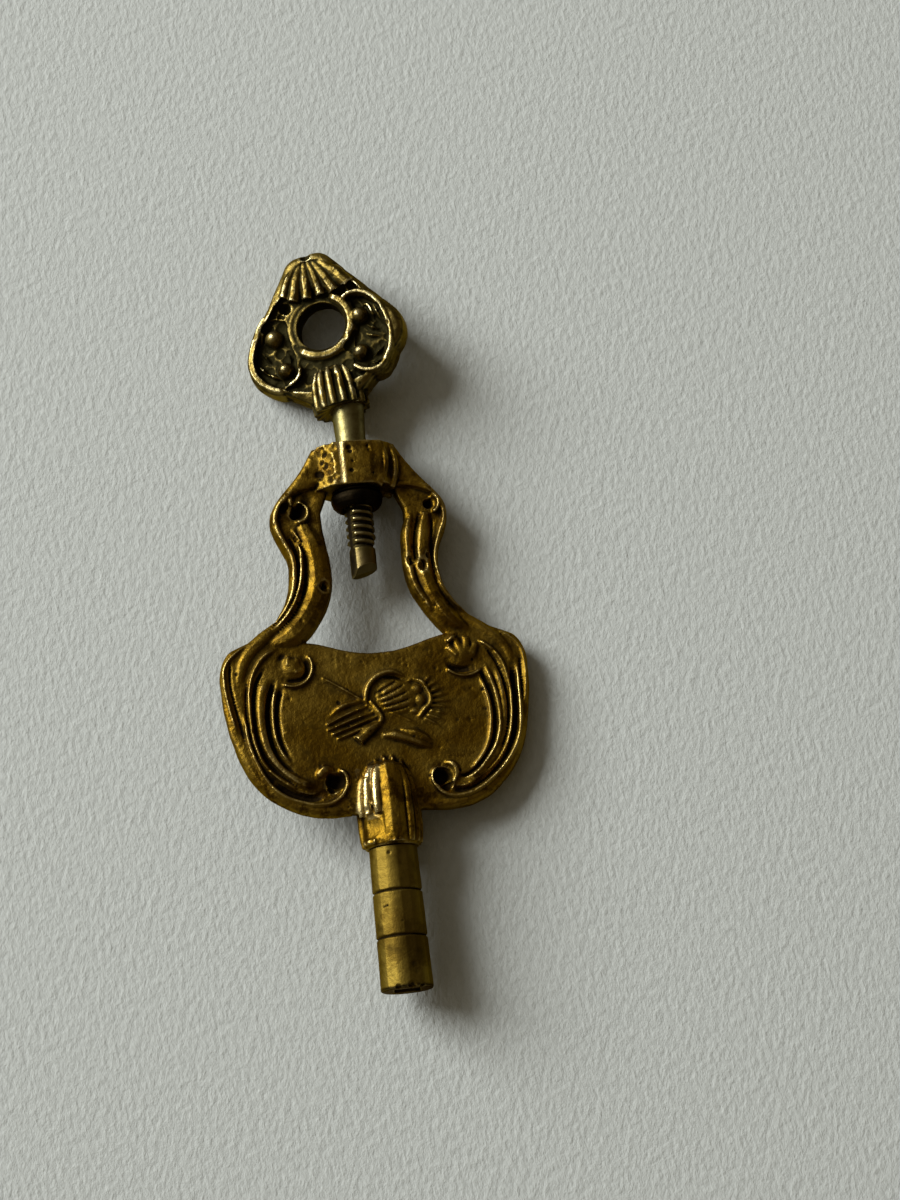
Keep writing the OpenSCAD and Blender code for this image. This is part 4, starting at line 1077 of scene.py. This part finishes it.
# the pendant, modelled upright from the cup's foot and then leaned and turned on the stem
pendant = {
    "voxel": 0.068, "smoothing": 2, "triangles": 195000, "turn": -13, "pivot": 39.8, "lean": 7, "neck": 3.1,
    "ripple": (1.0, 0.05),
    "thick": 2.4, "edge": 0.7, "eye": (0, 6.7), "eyeRadius": 1.85, "ringRadius": 2.36,
    "pocketDepth": 0.66, "recessDepth": 0.44, "pocketEdge": 0.2, "beadDepth": 2.85, "leafDepth": 1.25,
    "leafHeight": 0.85,
    "recess": [(0, 1.5), (1.6, 1.7), (3.4, 2.3), (4.6, 3.6), (5.0, 5.2), (4.7, 6.6), (3.7, 8.3), (2.7, 9.9),
               (1.2, 11.7), (-0.8, 11.7), (-2.4, 9.7), (-3.9, 8.2), (-5.0, 6.6), (-5.4, 5.2), (-5.0, 3.7),
               (-3.6, 2.5), (-1.6, 1.7)],
    # the ring round the eye, thick at the right and below: width, depth, angles
    "ring": [(1.25, 2.4, -150, 68), (0.6, 1.7, 70, 210), (1.3, 2.42, -130, -45)],
    "outline": [((0.5, 0.35), (0, 0.35), (0.5, 0.35)), ((0.5, 0.35), (1.04, 0.35), (1.3, 0.35)),
                ((1.5, 0.42), (1.69, 0.58), (2.8, 1.46)), ((4.1, 2.5), (5.24, 3.4), (5.78, 3.83)),
                ((6.1, 4.5), (6.1, 5.2), (6.1, 5.68)), ((5.95, 6.15), (5.68, 6.53), (4.4, 8.3)),
                ((3.1, 10.1), (1.83, 11.93), (1.55, 12.35)), ((1.1, 12.6), (0.53, 12.6), (0.2, 12.6))],
    "pockets": [
        [(2.25, 7.9), (3.0, 8.15), (3.8, 7.8), (4.4, 7.0), (4.75, 5.9), (4.75, 4.3), (4.25, 3.1), (3.5, 2.4),
         (2.6, 2.5), (1.85, 3.1), (2.1, 4.2), (2.5, 5.4), (2.55, 6.6), (2.35, 7.3)],
        [(-3.0, 8.2), (-3.9, 8.2), (-4.7, 7.2), (-5.3, 6.0), (-5.5, 5.0), (-5.3, 4.1), (-4.6, 3.3),
         (-3.7, 2.9), (-2.8, 3.1), (-2.5, 3.9), (-2.4, 4.9), (-2.5, 6.0), (-2.55, 7.0), (-2.5, 7.8)],
    ],
    # width, depth front to back, points
    "rims": [
        (0.72, 2.75, [(1.95, 7.6), (2.2, 8.2), (2.98, 8.42), (3.9, 8.05), (4.5, 7.34), (4.9, 6.37),
                      (5.07, 5.28), (5.05, 4.21), (4.5, 2.9), (3.7, 2.12), (2.75, 2.12), (1.91, 2.72),
                      (1.6, 3.14)]),
        (0.9, 2.36, [(-3.3, 8.75), (-4.0, 8.45), (-4.9, 7.3), (-5.55, 6.0), (-5.75, 5.0), (-5.5, 3.95),
                     (-4.85, 3.15), (-4.0, 2.6), (-3.2, 2.5)]),
        (0.55, 2.6, [(-3.9, 2.75), (-3.09, 2.8), (-2.45, 3.15), (-2.2, 3.7), (-2.3, 4.3)]),
        (0.75, 2.3, [(0.3, 12.05), (-0.9, 11.8), (-1.75, 11.1), (-2.4, 10.2), (-3.1, 9.25)]),
        (0.7, 2.1, [(0.4, 12.0), (1.4, 11.6), (2.4, 10.3), (3.3, 9.1), (4.3, 7.8), (5.2, 6.5)]),
        (0.5, 2.0, [(3.3, 7.45), (3.75, 7.2), (4.0, 6.6), (4.0, 5.9)]),
        (0.55, 2.3, [(4.2, 7.6), (4.35, 6.57), (4.65, 5.4)]),
        (0.5, 2.2, [(-3.85, 7.8), (-4.4, 7.4), (-4.75, 6.7)]),
        (0.5, 2.0, [(-5.25, 5.3), (-4.98, 4.59), (-4.44, 4.0)]),
    ],
    # short ridges in the pockets
    "wrinkles": [(0.42, 1.9, [(3.3, 5.9), (3.75, 5.4), (4.3, 5.2)]),
                 (0.38, 1.8, [(3.1, 5.2), (3.6, 4.8), (4.3, 4.6)]),
                 (0.45, 2.0, [(3.2, 3.2), (3.8, 3.4), (4.3, 3.9)]),
                 (0.36, 1.8, [(2.9, 2.8), (3.5, 2.7), (4.0, 3.0)]),
                 (0.42, 1.9, [(-4.9, 4.6), (-4.3, 3.9), (-3.6, 3.5)]),
                 (0.4, 1.8, [(-4.9, 6.2), (-4.5, 5.4), (-4.2, 4.8)]),
                 (0.4, 1.8, [(-3.0, 5.6), (-2.8, 5.0), (-2.9, 4.5)]),
                 (0.5, 1.8, [(-1.6, 3.9), (-0.6, 3.9), (0.4, 4.0)])],
    "beads": [(3.0, 6.6, 1.6), (2.5, 3.75, 1.5), (-3.68, 6.8, 1.6), (-3.3, 4.12, 1.45)],
    # leaf ribs on each face: width and points
    "leaf": [
        (0.85, [(-0.55, 12.0), (-1.5, 10.9), (-2.25, 9.6)]),
        (1.05, [(-0.35, 12.05), (-1.0, 10.6), (-1.6, 9.1)]),
        (1.0, [(-0.15, 12.1), (-0.28, 10.5), (-0.5, 8.95)]),
        (0.95, [(0.1, 12.1), (0.45, 10.5), (0.6, 8.95)]),
        (1.1, [(0.35, 12.05), (1.15, 10.4), (1.65, 8.95)]),
        (1.25, [(0.65, 12.0), (1.95, 10.5), (2.8, 9.2)]),
    ],
    "cupCore": [(0, -0.3), (1.85, -0.3), (1.9, 0.1), (1.84, 0.5), (1.7, 1.5), (1.48, 2.5), (1.1, 3.2),
                (0.6, 3.6), (0, 3.7)],
    "cupRib": [(1.84, -0.3), (1.88, 0.6), (1.82, 1.6), (1.64, 2.5), (1.4, 3.15)], "cupRibs": 15,
    "cupRibWidth": 0.52, "cupRibStart": -4,
    # the hole for the stem: radii and heights
    "seat": [(0, 41.5), (1.25, 41.5), (1.25, 43.26), (0.72, 43.26), (0.72, 45.88), (0, 45.88)],
    # random dents: how many, limits of radius and of depth
    "seed": 5, "pits": (110, (0.09, 0.2), (0.015, 0.04)), "hammering": (150, (0.3, 0.55), (0.05, 0.16)),
    "knocks": (150, (0.2, 0.4), (0.02, 0.06)),
    # grime on the pocket floors; painted shade on the eye's wall and under the cup
    "grimeAndShade": {"floor": 0.98, "fade": 0.25, "floorMost": 0.38, "wall": 0.45, "wallReach": 0.12, "foot": 1.0},
}

# hollows and knocks on each face: place, radius, depth
pendantDents = [
    ((-2.35, 8.85, 1.1), 0.55, 0.75), ((-2.75, 8.35, 0.95), 0.35, 0.3), ((2.3, 8.8, 1.1), 0.4, 0.5),
    ((2.95, 8.85, 1.05), 0.38, 0.4), ((0.1, 12.3, 1.0), 0.4, 0.3), ((4.9, 5.9, 0.9), 0.24, 0.16),
    ((4.6, 3.9, 0.9), 0.26, 0.16), ((4.2, 3.3, 0.9), 0.2, 0.14), ((-3.0, 9.0, 1.15), 0.2, 0.12),
    ((4.95, 5.2, 1.3), 0.2, 0.12),
]


# grime on the pocket floors, and painted shade on the eye's wall and the underside of the cup
def grimeAndShadePendant(piece, lean):
    back = np.array(lean.inverted(), np.float32)
    places = pointsOf(piece.data) @ back[:3, :3].T + back[:3, 3]
    normals = normalsOf(piece.data) @ back[:3, :3].T
    eyeX, eyeY = pendant["eye"]
    grimeAndShade = pendant["grimeAndShade"]
    floor = np.clip((grimeAndShade["floor"] - np.abs(places[:, 2])) / grimeAndShade["fade"], 0, grimeAndShade["floorMost"])
    floor *= np.abs(normals[:, 2]) > 0.3
    away = np.hypot(places[:, 0] - eyeX, places[:, 1] - eyeY)
    wall = grimeAndShade["wall"] * (away < pendant["eyeRadius"] + grimeAndShade["wallReach"])
    foot = grimeAndShade["foot"] * ((places[:, 1] < 0.1) & (normals[:, 1] < -0.5))
    hollow = readMark(piece, "deepHollowAndPaint")
    writeMark(piece, "deepHollowAndPaint", np.maximum.reduce((hollow, floor, wall, foot)))


def buildPendant():
    body = drawPlate([closeOutline(pendant["outline"])], pendant["thick"], pendant["edge"])
    cutThick = 2.0
    hollows = [(pendant["recess"], pendant["recessDepth"])]
    hollows += [(points, pendant["pocketDepth"]) for points in pendant["pockets"]]
    for points, depth in hollows:
        for side in (1, -1):
            pocket = drawPlate([smoothOutline(points)], cutThick, pendant["pocketEdge"])
            pocket.location.z = side * (pendant["thick"] / 2 - depth + cutThick / 2)
            applyAll(pocket)
            cutAway(body, pocket)
    eyeX, eyeY = pendant["eye"]
    hole = drawPlug(pendant["eyeRadius"], -3, 3)
    hole.rotation_euler.x = math.radians(90)
    hole.location = (eyeX, eyeY, 0)
    applyAll(hole)
    cutAway(body, hole)
    bodies = [body]
    for width, deep, first, last in pendant["ring"]:
        points = arc(pendant["eye"], first, last, pendant["ringRadius"], None, 14)
        bodies.append(drawStrand(points, width, deep, tips=(0.6, 0.6)))
    for width, deep, points in pendant["rims"] + pendant["wrinkles"]:
        bodies.append(drawStrand(points, width, deep, tips=(0.6, 0.6)))
    for x, y, size in pendant["beads"]:
        bodies.append(drawBead((x, y, 0), (size, size, pendant["beadDepth"])))
    for width, points in pendant["leaf"]:
        for side in (1, -1):
            height = pendant["leafHeight"] * side
            bodies.append(drawStrand(points, width, pendant["leafDepth"], height, tips=(0.35, 0.9)))
    bodies.append(turnProfile(pendant["cupCore"]))
    wide = pendant["cupRibWidth"]
    rib = drawStrand([(0, y, r) for r, y in pendant["cupRib"]], wide, wide, tips=(0.95, 0.5))
    for i in range(pendant["cupRibs"]):
        bodies.append(copyTurned(rib, 360 * i / pendant["cupRibs"] + pendant["cupRibStart"]))
    throwAway(rib)
    piece = castTogether(bodies, "castPendant", pendant["voxel"], pendant["smoothing"])
    cutAway(piece, drawBlock((0, -1.0, 0), (8, 2, 8)), "MANIFOLD")  # the cup's flat foot
    print("pendant cast:", len(piece.data.polygons), "faces")
    pressDents(piece, pendantDents)
    pressDents(piece, [((x, y, -z), radius, deep) for (x, y, z), radius, deep in pendantDents])
    chance = np.random.default_rng(pendant["seed"])
    places = pointsOf(piece.data)
    count, radius, depth = pendant["pits"]
    strays = strayDents(chance, places, chance.integers(0, len(places), count), radius, depth)
    # hammered pocket floors and knocked rims
    floor = (np.abs(places[:, 2]) < 0.95) & (np.abs(normalsOf(piece.data)[:, 2]) > 0.6)
    floor &= np.hypot(places[:, 0] - eyeX, places[:, 1] - eyeY) > pendant["eyeRadius"] + 0.7
    count, radius, depth = pendant["hammering"]
    strays += strayDents(chance, places, chance.choice(np.flatnonzero(floor), count), radius, depth)
    count, radius, depth = pendant["knocks"]
    strays += strayDents(chance, places, chance.integers(0, len(places), count), radius, depth)
    pressDents(piece, strays)
    rippleSkin(piece, *pendant["ripple"])
    lean = Matrix.Rotation(math.radians(pendant["turn"]), 4, "Y")
    lean = lean @ Matrix.Translation((0, pendant["pivot"], 0))
    lean = lean @ Matrix.Rotation(math.radians(pendant["lean"]), 4, "Z")
    lean = lean @ Matrix.Translation((0, pendant["neck"], 0))
    piece.data.transform(lean)
    cutAway(piece, turnProfile(pendant["seat"]), "MANIFOLD")
    markHollows(piece, pendant["voxel"])
    grimeAndShadePendant(piece, lean)
    thinTo(piece, pendant["triangles"])
    finishPiece(piece, "pendant", "pendant", materials["pendantBrass"])


buildBow()
buildPipe()
buildStem()
buildRing(ringPieces["washer"], "thrustWasher", "thrust_washer", "washer")
buildRing(ringPieces["nut"], "retainingNut", "retaining_nut", "pendant")
buildPendant()
print("pieces ready")

# the stage: pale paper, a soft window to the left, and the camera above
stage = {
    "paper": (0.462, 0.484, 0.460), "paperSize": 1.2, "azimuth": -6.175, "elevation": 74.0,
    "target": (5.943 * mm, 27.612 * mm, 0.0), "distance": 187.53 * mm, "focalPixels": 2600,
    "imageHeight": 1200, "windowPlace": (-0.918, 0.610, 0.618), "windowSize": 0.72, "windowPower": 26.3,
    "windowColour": (0.985, 1.0, 1.0), "roomWay": (-0.80, 0.50, 0.33), "roomBright": (0.50, 0.48, 0.44),
    "roomDark": (0.102, 0.078, 0.042), "roomFade": (0.2, 1.0), "paperRough": 0.9, "fibreScale": 1500,
    "fibreTurn": 30, "fibreStretch": (1.5, 0.9, 1.0), "fibreShades": (0.84, 1.16), "fibreRelief": 0.8,
    "fibreHeight": 0.16 * mm, "lensSensor": 36,
}


def makePaper():
    material, tree, place = startMaterial("palePaper")
    turn = (0, 0, math.radians(stage["fibreTurn"]))
    lay = addNode(tree, "ShaderNodeMapping", {"Vector": place, "Rotation": turn,
                                              "Scale": stage["fibreStretch"]})
    fibre = addNoise(tree, lay.outputs["Vector"], 1 / stage["fibreScale"], 5, 0.6)
    dark, pale = (tuple(level * part for part in stage["paper"]) for level in stage["fibreShades"])
    feedShader(tree, {
        "Base Color": mixColours(tree, fibre, dark, pale), "Roughness": stage["paperRough"],
        "Normal": addBump(tree, fibre, stage["fibreRelief"], stage["fibreHeight"]),
    })
    return material


def buildStage():
    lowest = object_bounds()[0].z
    deselectAll()
    bpy.ops.mesh.primitive_plane_add(size=stage["paperSize"], location=(0, 0, lowest))
    paper = bpy.context.object
    paper.name = "paper"
    paper.data.materials.append(makePaper())

    deselectAll()
    target = Vector(stage["target"])
    bpy.ops.object.light_add(type="AREA", location=stage["windowPlace"])
    window = bpy.context.object
    window.data.size = stage["windowSize"]
    window.data.energy = stage["windowPower"]
    window.data.color = stage["windowColour"]
    window.rotation_euler = (target - window.location).to_track_quat("-Z", "Y").to_euler()

    # the room is brighter on the window's side
    world = bpy.data.worlds.new("room")
    bpy.context.scene.world = world
    world.use_nodes = True
    tree = world.node_tree
    way = addNode(tree, "ShaderNodeTexCoord").outputs["Generated"]
    side = addNode(tree, "ShaderNodeVectorMath", {0: way, 1: stage["roomWay"]}, operation="DOT_PRODUCT")
    fade = addRamp(tree, side.outputs["Value"], *stage["roomFade"])
    glow = mixColours(tree, fade, stage["roomDark"], stage["roomBright"])
    feed(tree, tree.nodes["Background"].inputs["Color"], glow)

    azimuth, elevation = math.radians(stage["azimuth"]), math.radians(stage["elevation"])
    level = math.cos(elevation)
    back = Vector((math.sin(azimuth) * level, -math.cos(azimuth) * level, math.sin(elevation)))
    bpy.ops.object.camera_add(location=target + back * stage["distance"])
    camera = bpy.context.object
    camera.rotation_euler = (-back).to_track_quat("-Z", "Y").to_euler()
    camera.data.sensor_width = stage["lensSensor"]
    camera.data.lens = stage["lensSensor"] * stage["focalPixels"] / stage["imageHeight"]
    camera.data.clip_start = 0.01
    bpy.context.scene.camera = camera
    bpy.context.scene.view_settings.view_transform = "Standard"


buildStage()
print("stage ready")
